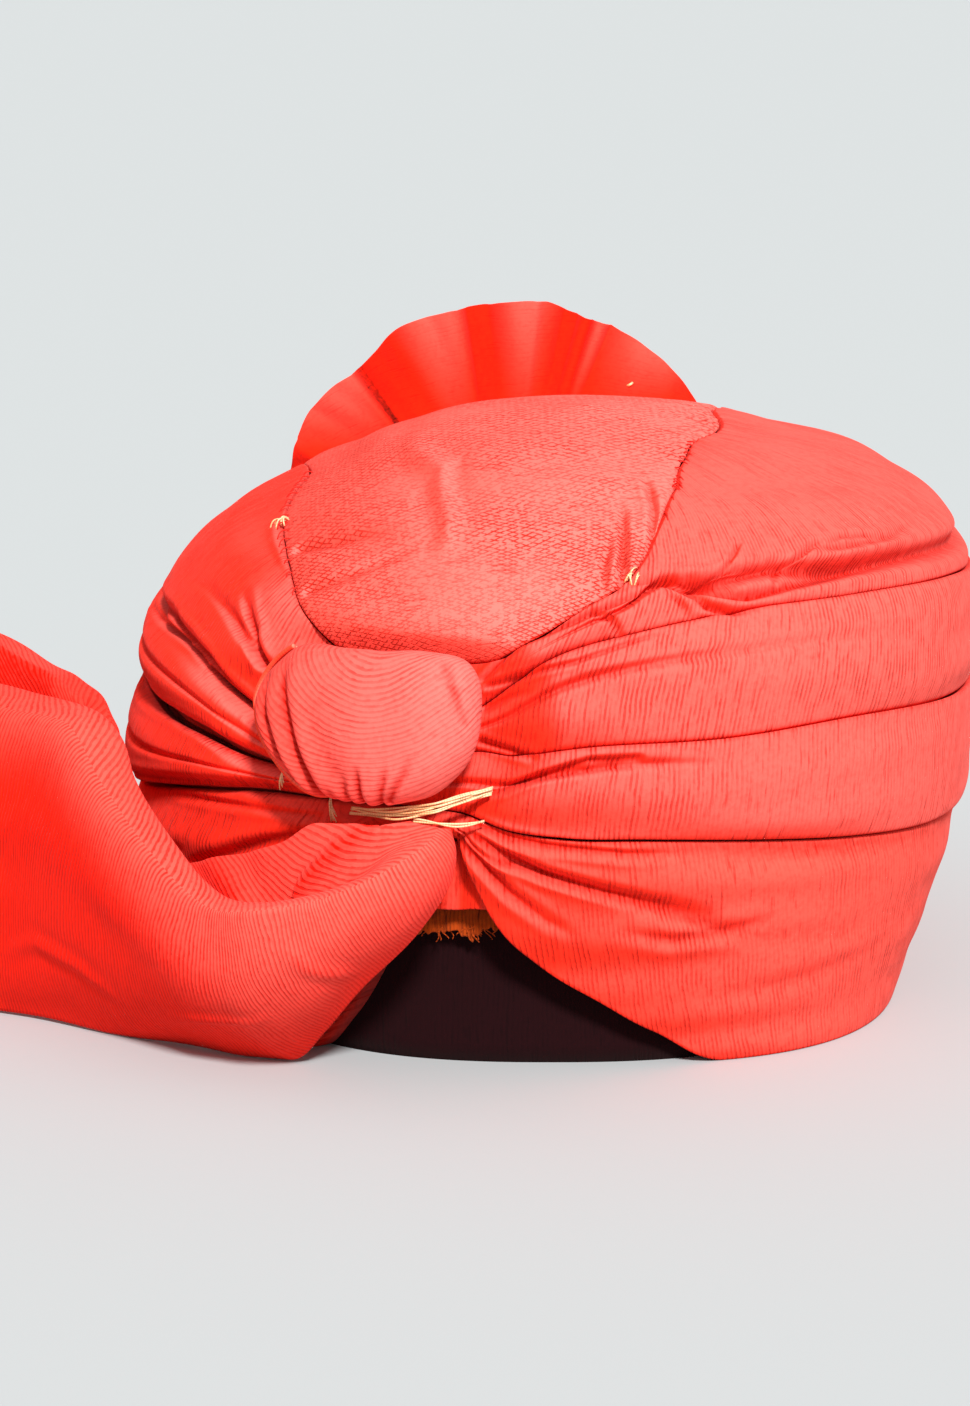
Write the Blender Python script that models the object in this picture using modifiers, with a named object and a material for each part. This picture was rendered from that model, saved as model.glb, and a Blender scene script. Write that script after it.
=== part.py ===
"""Tied turban pagri: a ready-wound turban of red cotton that rests on a flat surface.

Frame in metres, +Z up. The origin is the middle of the head opening, on the plane of the rim.
The side with the knot and the loose tail faces -Y, the pleated fan stands near +Y.
Azimuth is counted in degrees round Z from -Y (0) towards +X (90). Climb runs from 0 at the
rim to 1 at the crown's top, and depth from 0 at the cap inside to 1 at the wound outer surface.
"""
import math

import bmesh
import bpy
import numpy as np

for thing in list(bpy.data.objects):
    bpy.data.objects.remove(thing, do_unlink=True)

# Driving sizes
HALF_WIDTH = 0.114
HALF_LENGTH = 0.126
CROWN_HEIGHT = 0.150
CAP_HALF_WIDTH = 0.085
CAP_FRONT = 0.104
CAP_BACK = 0.096
CAP_HEIGHT = 0.130
CAP_WALL = 0.0025
CLOTH = 0.0020
GAP = 0.0009
SEAT = 0.0011
KNOT_WIDTH = 0.059
KNOT_RISE = 0.017
THREAD_RADIUS = 0.0016
FAN_RADIUS = 0.0745
FAN_PIVOT_X = -0.010
FAN_PIVOT_Z = 0.094
FAN_LEAN = 0.010
FAN_FOLD = 0.0050

# Body outline: climb, height, left, right, front and back reach as shares, roundness of the plan
BODY = np.array([
    (0.00, 0.000, 0.83, 0.82, 0.85, 0.84, 2.80),
    (0.14, 0.140, 0.915, 0.885, 0.91, 0.91, 2.55),
    (0.30, 0.340, 0.985, 0.975, 0.97, 0.97, 2.30),
    (0.44, 0.520, 0.955, 0.995, 1.00, 1.00, 2.25),
    (0.57, 0.680, 0.90, 1.00, 0.98, 0.98, 2.25),
    (0.70, 0.810, 0.730, 0.945, 0.88, 0.88, 2.25),
    (0.81, 0.905, 0.485, 0.750, 0.70, 0.70, 2.25),
    (0.91, 0.970, 0.25, 0.425, 0.42, 0.42, 2.10),
    (1.00, 1.000, -0.09, 0.09, 0.00, 0.00, 2.00),
])

# Cap inside: climb, height and reach as shares
CAP = np.array([
    (0.00, 0.00, 1.00),
    (0.14, 0.15, 1.00),
    (0.30, 0.35, 0.995),
    (0.44, 0.53, 0.97),
    (0.57, 0.69, 0.92),
    (0.70, 0.82, 0.81),
    (0.81, 0.91, 0.65),
    (0.91, 0.97, 0.41),
    (1.00, 1.00, 0.00),
])
CAP_SQUARE = 2.5

# Azimuth stations shared by the cap and every wrap, closer together round the knot and the arch
WIDE_STEP = 9.0
FINE_STEP = 5.4
FINE_FROM, FINE_TO = -45.0, 36.0
STATIONS = np.radians(np.concatenate([
    np.arange(-180.0, FINE_FROM, WIDE_STEP),
    np.arange(FINE_FROM, FINE_TO, FINE_STEP),
    np.arange(FINE_TO, 180.0, WIDE_STEP)]))


def flow(x, xs, ys):
    """Smooth curve through the rows that doesn't overshoot them."""
    x, xs, ys = np.asarray(x, float), np.asarray(xs, float), np.asarray(ys, float)
    step = np.diff(xs)
    rise = np.diff(ys) / step
    before, after = np.r_[rise[0], rise], np.r_[rise, rise[-1]]
    limit = 3 * np.minimum(abs(before), abs(after))
    slope = np.where(before * after <= 0, 0, np.clip(np.gradient(ys, xs), -limit, limit))
    i = np.clip(np.searchsorted(xs, x, side="right") - 1, 0, len(step) - 1)
    t = (x - xs[i]) / step[i]
    return ((1 + 2 * t) * (1 - t) ** 2 * ys[i] + t * (1 - t) ** 2 * step[i] * slope[i]
            + t * t * (3 - 2 * t) * ys[i + 1] + t * t * (t - 1) * step[i] * slope[i + 1])


def round_flow(a, rows, column):
    """Value of a table's column at azimuth a, read smoothly all the way round."""
    rows = np.asarray(rows, float)
    xs = np.r_[rows[-3:-1, 0] - 360, rows[:, 0], rows[1:3, 0] + 360]
    ys = np.r_[rows[-3:-1, column], rows[:, column], rows[1:3, column]]
    return flow(np.degrees(a), xs, ys)


def oval(a, square):
    """Sine and cosine of a, pushed out to a rounded rectangle."""
    k = (abs(np.sin(a)) ** square + abs(np.cos(a)) ** square) ** (-1 / square)
    return np.sin(a) * k, np.cos(a) * k


def body(a, c):
    """Point of the wound outer surface."""
    a, c = np.broadcast_arrays(np.asarray(a, float), np.asarray(c, float))
    z, left, right, front, back, square = (flow(c, BODY[:, 0], BODY[:, k]) for k in range(1, 7))
    s, k = oval(a, square)
    return np.stack([HALF_WIDTH * ((right - left) / 2 + (right + left) / 2 * s),
                     HALF_LENGTH * ((back - front) / 2 - (back + front) / 2 * k),
                     CROWN_HEIGHT * z], -1)


def cap(a, c, out=0.0):
    """Point of the cap's outer surface, moved out by a distance."""
    a, c = np.broadcast_arrays(np.asarray(a, float), np.asarray(c, float))
    z, reach = flow(c, CAP[:, 0], CAP[:, 1]), flow(c, CAP[:, 0], CAP[:, 2])
    s, k = oval(a, CAP_SQUARE)
    length = np.where(np.cos(a) > 0, CAP_FRONT, CAP_BACK) + out
    return np.stack([(CAP_HALF_WIDTH + out) * reach * s, -length * reach * k,
                     (CAP_HEIGHT + out) * z], -1)


def wound(a, c, w):
    """Point between the cap (w = 0) and the outer surface (w = 1)."""
    w = np.asarray(w, float)[..., None]
    return (1 - w) * cap(a, c, SEAT) + w * body(a, c)


def above(a, c, h):
    """Point at height h over the outer surface, along its normal."""
    e = 1e-3
    n = np.cross(body(a + e, c) - body(a - e, c), body(a, c + e) - body(a, c - e))
    return body(a, c) + np.asarray(h)[..., None] * n / np.linalg.norm(n, axis=-1, keepdims=True)


# Where the knot sits, the wraps are drawn in
KNOT_AZIMUTH, KNOT_CLIMB = -24.8, 0.494
HOLLOW_AZIMUTH, HOLLOW_CLIMB, HOLLOW_DEPTH = 21.0, 0.155, 0.24


def drawn_in(a, c):
    r = ((np.degrees(a) - KNOT_AZIMUTH) / HOLLOW_AZIMUTH) ** 2 + ((c - KNOT_CLIMB) / HOLLOW_CLIMB) ** 2
    return HOLLOW_DEPTH * np.clip(1.5 - r, 0, 1)


# Creases between the wraps: azimuth, climb, depth of the edge below it and of the edge
# above it, and how far the crease slants up on its way in to the cap
CROWN_CREASE = np.array([
    (-180, 0.857, 0.78, 0.80, 0.00), (-165, 0.852, 0.78, 0.80, 0.00), (-150, 0.828, 0.78, 0.80, 0.00),
    (-140, 0.790, 0.78, 0.78, 0.00), (-131, 0.712, 0.78, 0.78, 0.00), (-120, 0.728, 0.84, 0.86, 0.00),
    (-105, 0.765, 0.90, 0.90, 0.00), (-91, 0.780, 0.90, 0.92, 0.00), (-78, 0.765, 0.90, 0.92, 0.00),
    (-64, 0.735, 0.90, 0.92, 0.00), (-50, 0.690, 0.90, 0.92, 0.00), (-39, 0.625, 0.90, 0.93, 0.00),
    (-34, 0.600, 0.88, 0.95, 0.00), (-26, 0.590, 0.85, 0.97, 0.00), (-12, 0.592, 0.86, 0.94, 0.00),
    (-7, 0.622, 0.93, 0.88, 0.00), (-2, 0.665, 0.93, 0.88, 0.00), (4, 0.712, 0.93, 0.88, 0.00),
    (8, 0.780, 0.93, 0.88, 0.00), (19, 0.855, 0.93, 0.90, 0.00), (35, 0.898, 0.92, 0.92, 0.00),
    (60, 0.915, 0.92, 0.92, 0.00), (90, 0.915, 0.92, 0.92, 0.00), (119, 0.905, 0.88, 0.90, 0.00),
    (135, 0.872, 0.82, 0.84, 0.00), (150, 0.840, 0.78, 0.80, 0.00), (165, 0.852, 0.78, 0.80, 0.00),
    (180, 0.857, 0.78, 0.80, 0.00)])
UPPER_CREASE = np.array([
    (-180, 0.620, 0.84, 0.95, 0.04), (-140, 0.600, 0.82, 0.96, 0.04), (-110, 0.585, 0.80, 0.97, 0.04),
    (-82, 0.565, 0.78, 0.98, 0.04), (-57, 0.545, 0.78, 0.98, 0.03), (-45, 0.500, 0.80, 0.96, 0.01),
    (-39, 0.472, 0.82, 0.92, 0.00), (-26, 0.495, 0.85, 0.85, 0.00), (-12, 0.532, 0.90, 0.86, 0.00),
    (-3, 0.600, 0.94, 0.84, 0.00), (7, 0.635, 0.95, 0.84, -0.02), (21, 0.660, 0.96, 0.84, -0.03),
    (39, 0.667, 0.96, 0.84, -0.03), (59, 0.655, 0.96, 0.86, -0.03), (82, 0.630, 0.95, 0.88, -0.02),
    (110, 0.620, 0.92, 0.92, 0.00), (145, 0.620, 0.88, 0.94, 0.02), (180, 0.620, 0.84, 0.95, 0.04)])
MIDDLE_CREASE = np.array([
    (-180, 0.460, 0.95, 0.84, -0.03), (-130, 0.450, 0.95, 0.84, -0.03), (-100, 0.445, 0.96, 0.82, -0.03),
    (-76, 0.445, 0.97, 0.80, -0.03), (-53, 0.442, 0.97, 0.80, -0.01), (-43, 0.430, 0.94, 0.82, 0.00),
    (-33, 0.426, 0.90, 0.84, 0.00), (-22, 0.445, 0.88, 0.86, 0.00), (-11, 0.475, 0.92, 0.86, 0.00),
    (-6, 0.468, 0.95, 0.84, 0.00), (4, 0.478, 0.96, 0.82, -0.02), (19, 0.482, 0.97, 0.82, -0.03),
    (37, 0.490, 0.97, 0.82, -0.03), (66, 0.470, 0.96, 0.84, -0.03), (100, 0.460, 0.95, 0.84, -0.03),
    (140, 0.460, 0.95, 0.84, -0.03), (180, 0.460, 0.95, 0.84, -0.03)])
LOWER_CREASE = np.array([
    (-180, 0.310, 0.84, 0.96, 0.03), (-120, 0.310, 0.82, 0.96, 0.03), (-80, 0.320, 0.80, 0.97, 0.03),
    (-49, 0.378, 0.80, 0.96, 0.00), (-38, 0.395, 0.82, 0.92, 0.00), (-26, 0.398, 0.84, 0.88, 0.00),
    (-12, 0.390, 0.86, 0.90, 0.00), (-7, 0.370, 0.84, 0.94, 0.00), (1, 0.357, 0.82, 0.97, 0.01),
    (11, 0.352, 0.80, 0.98, 0.02), (26, 0.340, 0.80, 0.98, 0.03), (40, 0.325, 0.80, 0.98, 0.03),
    (64, 0.305, 0.80, 0.98, 0.03), (110, 0.300, 0.82, 0.97, 0.03), (145, 0.305, 0.84, 0.96, 0.03),
    (180, 0.310, 0.84, 0.96, 0.03)])
# The lowest edge lies on the surface, and rises to the arch under the knot
HEM = np.array([
    (-180, 0.000, 0.0, 0.90, 0.00), (-60, 0.000, 0.0, 0.90, 0.00), (-38, 0.000, 0.0, 0.90, 0.00),
    (-32, 0.060, 0.0, 0.90, 0.01), (-26, 0.170, 0.0, 0.90, 0.01), (-20, 0.300, 0.0, 0.90, 0.00),
    (-16, 0.350, 0.0, 0.90, 0.00), (-13, 0.358, 0.0, 0.90, 0.00), (-10, 0.300, 0.0, 0.92, 0.02),
    (-7, 0.245, 0.0, 0.94, 0.03), (-1, 0.180, 0.0, 0.95, 0.04), (7, 0.125, 0.0, 0.95, 0.03),
    (15, 0.065, 0.0, 0.94, 0.02), (26, 0.000, 0.0, 0.92, 0.00), (40, 0.000, 0.0, 0.90, 0.00),
    (110, 0.000, 0.0, 0.90, 0.00), (180, 0.000, 0.0, 0.90, 0.00)])

# One more fold along each wrap: azimuth, share of the wrap's height, depth
ROLL_FOLD = np.array([
    (-180, 0.30, 0.00), (-80, 0.30, 0.00), (-60, 0.42, 0.04), (-45, 0.45, 0.10), (-36, 0.45, 0.03),
    (-12, 0.50, 0.00), (-2, 0.50, 0.03), (6, 0.50, 0.10), (13, 0.24, 0.14), (26, 0.22, 0.15),
    (41, 0.16, 0.14), (65, 0.16, 0.12), (86, 0.16, 0.08), (110, 0.20, 0.04), (180, 0.30, 0.00)])
SOFT_FOLD = np.array([
    (-180, 0.45, 0.03), (-100, 0.50, 0.05), (-60, 0.50, 0.07), (-42, 0.50, 0.03), (-12, 0.50, 0.05),
    (0, 0.62, 0.08), (20, 0.66, 0.04), (50, 0.60, 0.00), (120, 0.50, 0.02), (180, 0.45, 0.03)])
SHORT_FOLD = np.array([
    (-180, 0.50, 0.00), (-90, 0.50, 0.03), (-55, 0.45, 0.06), (-40, 0.50, 0.04), (-12, 0.50, 0.06),
    (-3, 0.70, 0.12), (4, 0.78, 0.12), (10, 0.80, 0.06), (24, 0.75, 0.00), (120, 0.50, 0.00),
    (180, 0.50, 0.00)])
FLAP_FOLD = np.array([
    (-180, 0.50, 0.00), (-90, 0.74, 0.05), (-54, 0.74, 0.12), (-41, 0.76, 0.12), (-26, 0.70, 0.05),
    (-13, 0.50, 0.03), (-4, 0.74, 0.14), (7, 0.70, 0.14), (17, 0.68, 0.12), (26, 0.64, 0.06),
    (45, 0.60, 0.02), (120, 0.50, 0.00), (180, 0.50, 0.00)])

collection = bpy.data.collections.new("tied_turban_pagri")
bpy.context.scene.collection.children.link(collection)


def material(name, colour, roughness):
    made = bpy.data.materials.new(name)
    made.use_nodes = True
    shader = made.node_tree.nodes["Principled BSDF"]
    shader.inputs["Base Color"].default_value = (*colour, 1)
    shader.inputs["Roughness"].default_value = roughness
    shader.inputs["Metallic"].default_value = 0
    return made


def solid(name, points, faces, colour, roughness=0.85):
    """One named closed body, its faces turned outwards."""
    mesh = bpy.data.meshes.new(name)
    mesh.from_pydata([tuple(p) for p in points], [], [tuple(int(i) for i in f) for f in faces])
    shape = bmesh.new()
    shape.from_mesh(mesh)
    bmesh.ops.recalc_face_normals(shape, faces=shape.faces)
    shape.to_mesh(mesh)
    shape.free()
    mesh.shade_smooth()
    made = bpy.data.objects.new(name, mesh)
    made.data.materials.append(material(name, colour, roughness))
    collection.objects.link(made)
    return made


def thick_sheet(name, grid, thickness, colour):
    """Cloth from a grid of points, given its thickness on both sides."""
    rows, columns = grid.shape[:2]
    at = np.arange(rows * columns).reshape(rows, columns)
    faces = [(at[i, j], at[i + 1, j], at[i + 1, j + 1], at[i, j + 1])
             for i in range(rows - 1) for j in range(columns - 1)]
    made = solid(name, grid.reshape(-1, 3), faces, colour)
    wall = made.modifiers.new("cloth", "SOLIDIFY")
    wall.thickness = thickness
    wall.offset = 0.0
    return made


def ring_faces(stations, around, flipped):
    """Triangles of a closed ring of sections; the flipped columns turn their diagonal."""
    faces = []
    for i in range(stations):
        for j in range(around):
            a, b = i * around + j, i * around + (j + 1) % around
            d, e = ((i + 1) % stations) * around + j, ((i + 1) % stations) * around + (j + 1) % around
            faces += [(a, d, b), (b, d, e)] if j in flipped else [(a, d, e), (a, e, b)]
    return faces


# Turban red
CROWN_RED = (0.93, 0.17, 0.13)
WRAP_RED = (0.92, 0.13, 0.10)
FLAP_RED = (0.93, 0.10, 0.07)
DARK_MAROON = (0.035, 0.010, 0.013)


def edge_roll(t):
    """How strongly a wrap's surface turns down near its edge, 1 at the edge."""
    return np.clip(1 - t / 0.45, 0, 1) ** 2


def wrap(name, low, high, fold, colour, puff, inner_parts):
    """One wound length of cloth: a ring between two creases, from the cap to the surface."""
    half_gap = GAP / 2 / (CROWN_HEIGHT * 1.3)
    sections = []
    for a in STATIONS:
        c0, e0, s0 = (round_flow(a, low, k) for k in (1, 3, 4))
        c1, e1, s1 = (round_flow(a, high, k) for k in (1, 2, 4))
        c0, c1 = max(c0, 0.0) + (half_gap if low is not HEM else 0.0), c1 - half_gap
        f, deep = np.clip(round_flow(a, fold, 1), 0.14, 0.86), max(round_flow(a, fold, 2), 0)
        t = np.array([0, 0.05, f * 0.55, f - 0.055, f, f + 0.055, (1 + f) / 2, 0.95, 1])
        c = c0 + (c1 - c0) * t
        w = 1 + puff * np.sin(math.pi * t) ** 2 - (1 - e0) * edge_roll(t) - (1 - e1) * edge_roll(1 - t)
        w = w - deep * np.exp(-((t - f) / 0.05) ** 2) - drawn_in(a, c)
        outside = wound(a, c, w)
        w_low, w_high = w[0], w[-1]
        inner_c = np.linspace(c1 + s1, c0 + s0, inner_parts + 1)
        inside = wound(a, inner_c, np.zeros(inner_parts + 1))
        step_up = wound(a, c1 + s1 * (1 - 0.5 * w_high), 0.5 * w_high)
        step_down = wound(a, c0 + s0 * (1 - 0.5 * w_low), 0.5 * w_low)
        if low is HEM and c0 < 1e-6:
            inside[-1, 2] = step_down[2] = outside[0, 2] = 0.0
        sections.append(np.vstack([outside, step_up[None], inside, step_down[None]]))
    sections = np.array(sections)
    around = sections.shape[1]
    made = solid(name, sections.reshape(-1, 3),
                 ring_faces(len(STATIONS), around, flipped=(8, 9)), colour)
    return made


wrap("wrap_4", HEM, LOWER_CREASE, FLAP_FOLD, FLAP_RED, 0.02, 4)
wrap("wrap_3", LOWER_CREASE, MIDDLE_CREASE, SHORT_FOLD, WRAP_RED, 0.06, 2)
wrap("wrap_2", MIDDLE_CREASE, UPPER_CREASE, SOFT_FOLD, WRAP_RED, 0.06, 3)
wrap("wrap_1", UPPER_CREASE, CROWN_CREASE, ROLL_FOLD, WRAP_RED, 0.04, 5)


def dome(name, outer_rings, inner_rings, outer_top, inner_top, colour):
    """Closed dome shell from matching rings outside and inside, joined along the lowest ones."""
    n = outer_rings.shape[1]
    rings = np.concatenate([inner_rings[::-1], outer_rings])
    points = np.vstack([rings.reshape(-1, 3), inner_top[None], outer_top[None]])
    faces = []
    for k in range(len(rings) - 1):
        for i in range(n):
            a, b, d, e = k * n + i, k * n + (i + 1) % n, (k + 1) * n + i, (k + 1) * n + (i + 1) % n
            faces += [(a, b, e), (a, e, d)]
    last = (len(rings) - 1) * n
    for i in range(n):
        faces.append(((i + 1) % n, i, len(points) - 2))
        faces.append((last + i, last + (i + 1) % n, len(points) - 1))
    return solid(name, points, faces, colour)


# Inner cap: the dark cloth-covered shell that the wraps are wound over
CAP_CLIMBS = np.array([0.0, 0.14, 0.30, 0.44, 0.57, 0.68, 0.78, 0.87, 0.94])
dome("inner_cap", np.array([cap(STATIONS, c) for c in CAP_CLIMBS]),
     np.array([cap(STATIONS, c, -CAP_WALL) for c in CAP_CLIMBS]),
     cap(0.0, 1.0), cap(0.0, 1.0, -CAP_WALL), DARK_MAROON)

# Crown panel: the stretched cloth over the top, from the knot back to the fan
edge = np.array([[round_flow(a, CROWN_CREASE, k) for k in (1, 3)] for a in STATIONS])
edge_c = edge[:, 0] + GAP / 2 / (CROWN_HEIGHT * 1.3)
PANEL_SHARES = np.array([0.0, 0.06, 0.22, 0.45, 0.72])
outer_rings = []
for s in PANEL_SHARES:
    c = edge_c + (1 - edge_c) * s
    w = 1 - (1 - edge[:, 1]) * edge_roll(s) - drawn_in(STATIONS, c)
    outer_rings.append(wound(STATIONS, c, w))
inner_rings = [wound(STATIONS, edge_c + (1 - edge_c) * s, np.zeros(len(STATIONS)))
               for s in (0.0, 0.25, 0.5, 0.75)]
middle = wound(STATIONS, edge_c, 0.5 * (edge[:, 1] - drawn_in(STATIONS, edge_c)))
dome("crown_panel", np.array([middle] + outer_rings), np.array(inner_rings),
     wound(0.0, 1.0, 1.0), wound(0.0, 1.0, 0.0), CROWN_RED)

# Knot: a puffed loop of the cloth. Direction in its plane in degrees, reach as a share of half its width
KNOT_REACH = np.array([
    (-180, 0.94), (-148, 0.70), (-120, 0.60), (-95, 0.54), (-70, 0.58), (-48, 0.70), (-29, 0.88),
    (-4, 1.04), (17, 1.06), (29, 1.00), (50, 0.74), (90, 0.54), (120, 0.62), (147, 0.88),
    (172, 0.98), (180, 0.94)])
KNOT_SECTION = np.array([
    (0.50, -0.22), (0.84, -0.16), (0.97, 0.06), (1.00, 0.30), (0.93, 0.62), (0.76, 0.86), (0.45, 0.98)])
KNOT_SIDES = 28
KNOT_CREASES = np.array([(-95.0, 0.07, 7.0), (-62.0, 0.09, 6.0), (172.0, 0.05, 8.0)])


def knot_point(turn, share, height):
    """Point of the knot from direction, share of its reach and share of its rise."""
    reach = KNOT_WIDTH / 2 * round_flow(turn, KNOT_REACH, 1) * share
    across, up = reach * np.cos(turn), reach * np.sin(turn)
    radius = np.linalg.norm(body(math.radians(KNOT_AZIMUTH), KNOT_CLIMB)[:2])
    a = math.radians(KNOT_AZIMUTH) + across / radius
    c = KNOT_CLIMB + up / (CROWN_HEIGHT * 1.19)
    return above(a, c, KNOT_RISE * height)


turns = np.radians(-180 + 360 / KNOT_SIDES * np.arange(KNOT_SIDES))
rings = []
for share, height in KNOT_SECTION:
    narrow = np.ones(KNOT_SIDES)
    for direction, depth, spread in KNOT_CREASES:
        off = (np.degrees(turns) - direction + 180) % 360 - 180
        narrow -= depth * np.exp(-(off / spread) ** 2) * (height > 0)
    rings.append(knot_point(turns, share * narrow, np.full(KNOT_SIDES, height)))
dome("knot", np.array(rings[2:]), np.array(rings[:2][::-1]), knot_point(0.0, 0.0, np.array(1.0)),
     knot_point(0.0, 0.0, np.array(-0.23)), (0.93, 0.22, 0.17))

# Tie thread: gold windings that hold the gathers under the knot. Azimuth, climb, height over the surface
TIE = np.array([
    (-25.5, 0.387, 0.0008), (-22.0, 0.391, 0.0034), (-18.5, 0.397, 0.0062), (-15.0, 0.405, 0.0064),
    (-12.0, 0.413, 0.0038), (-8.5, 0.419, -0.0004)])
along = np.linspace(0, 1, 15)
route = [flow(along, np.linspace(0, 1, len(TIE)), TIE[:, k]) for k in range(3)]
places = above(np.radians(route[0]), route[1], route[2])
curve = bpy.data.curves.new("tie_thread", "CURVE")
curve.dimensions = "3D"
curve.bevel_depth = THREAD_RADIUS
curve.bevel_resolution = 2
curve.use_fill_caps = True
strand = curve.splines.new("POLY")
strand.points.add(len(places) - 1)
for point, place in zip(strand.points, places):
    point.co = (*place, 1)
tie = bpy.data.objects.new("tie_thread", curve)
tie.data.materials.append(material("tie_thread", (0.78, 0.36, 0.14), 0.45))
collection.objects.link(tie)


def small_strip(name, azimuths, low, high, inside, outside, colour):
    """Short strip of cloth against the cap, between two climbs given at each azimuth."""
    a = np.radians(azimuths)
    corners = [wound(a, low, np.full(len(a), inside)), wound(a, low, np.full(len(a), outside)),
               wound(a, high, np.full(len(a), outside)), wound(a, high, np.full(len(a), inside))]
    points = np.stack(corners, 1).reshape(-1, 3)
    faces = [(0, 1, 2, 3), tuple(4 * (len(a) - 1) + k for k in (3, 2, 1, 0))]
    for i in range(len(a) - 1):
        for j in range(4):
            p, q = 4 * i + j, 4 * i + (j + 1) % 4
            faces += [(p, p + 4, q + 4), (p, q + 4, q)]
    return solid(name, points, faces, colour)


# Under wrap: the end of cloth that shows in the top of the arch
ARCH_CLEAR = 0.014
UNDER_AZIMUTHS = np.array([-18.0, -15.75, -13.5, -11.25, -9.2])
UNDER_HEM = 0.262
under_top = np.array([max(round_flow(math.radians(a), HEM, 1), 0) for a in UNDER_AZIMUTHS]) - ARCH_CLEAR
small_strip("under_wrap", UNDER_AZIMUTHS, np.full(5, UNDER_HEM), under_top, 0.10, 0.62, FLAP_RED)

# Lining edge: the frayed raw edge of the lining under it
LINING_AZIMUTHS = np.array([-19.0, -15.0, -11.0, -7.6])
LINING_CLIMBS = (0.222, 0.256)
lining_top = np.array([LINING_CLIMBS[1], LINING_CLIMBS[1], LINING_CLIMBS[1], 0.240])
small_strip("lining_edge", LINING_AZIMUTHS, np.full(4, LINING_CLIMBS[0]), lining_top, 0.08, 0.24,
            (0.35, 0.045, 0.004))

# Fan: the pleated end of the cloth that stands up behind the crown.
# Angle from upright, reach as a share of its radius, fold towards the back as a share of the fold depth
FAN = np.array([
    (-67, 0.90, 0.0), (-59, 0.93, -0.8), (-50, 0.95, -0.2), (-43, 0.94, 1.0), (-35, 0.96, -0.7),
    (-27, 0.99, -0.9), (-20, 0.99, 0.2), (-13, 0.99, -0.8), (-6, 0.98, 1.0), (1, 1.00, -0.5),
    (8, 1.01, -1.0), (15, 0.98, 0.7), (22, 0.98, -0.7), (28, 0.99, -0.2), (33, 0.97, 1.0),
    (41, 0.98, -0.7), (50, 0.94, 0.2)])
FAN_SIDES = 42
FAN_ROOT = 0.93
back_half = np.radians(np.arange(-210.0, -129.0, 1.5))
foot = wound(back_half, round_flow((back_half + math.pi) % (2 * math.pi) - math.pi, CROWN_CREASE, 1),
             np.full(len(back_half), FAN_ROOT))
foot_angle = np.degrees(np.arctan2(foot[:, 0] - FAN_PIVOT_X, foot[:, 2] - FAN_PIVOT_Z))
order = np.argsort(foot_angle)
angles = np.linspace(FAN[0, 0], FAN[-1, 0], FAN_SIDES)
roots = np.stack([np.interp(angles, foot_angle[order], foot[order, k]) for k in range(3)], -1)
reach = FAN_RADIUS * flow(angles, FAN[:, 0], FAN[:, 1])
folds = FAN_FOLD * flow(angles, FAN[:, 0], FAN[:, 2])
tips = np.stack([FAN_PIVOT_X + reach * np.sin(np.radians(angles)), roots[:, 1] + FAN_LEAN,
                 FAN_PIVOT_Z + reach * np.cos(np.radians(angles))], -1)
FAN_SHARES = (0.0, 0.15, 0.4, 0.7, 1.0)
grid = np.array([roots + (tips - roots) * s
                 + np.stack([0 * folds, folds * (0.14 + 0.86 * s), 0 * folds], -1) for s in FAN_SHARES])
thick_sheet("fan", grid, CLOTH, (0.94, 0.15, 0.10))

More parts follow.
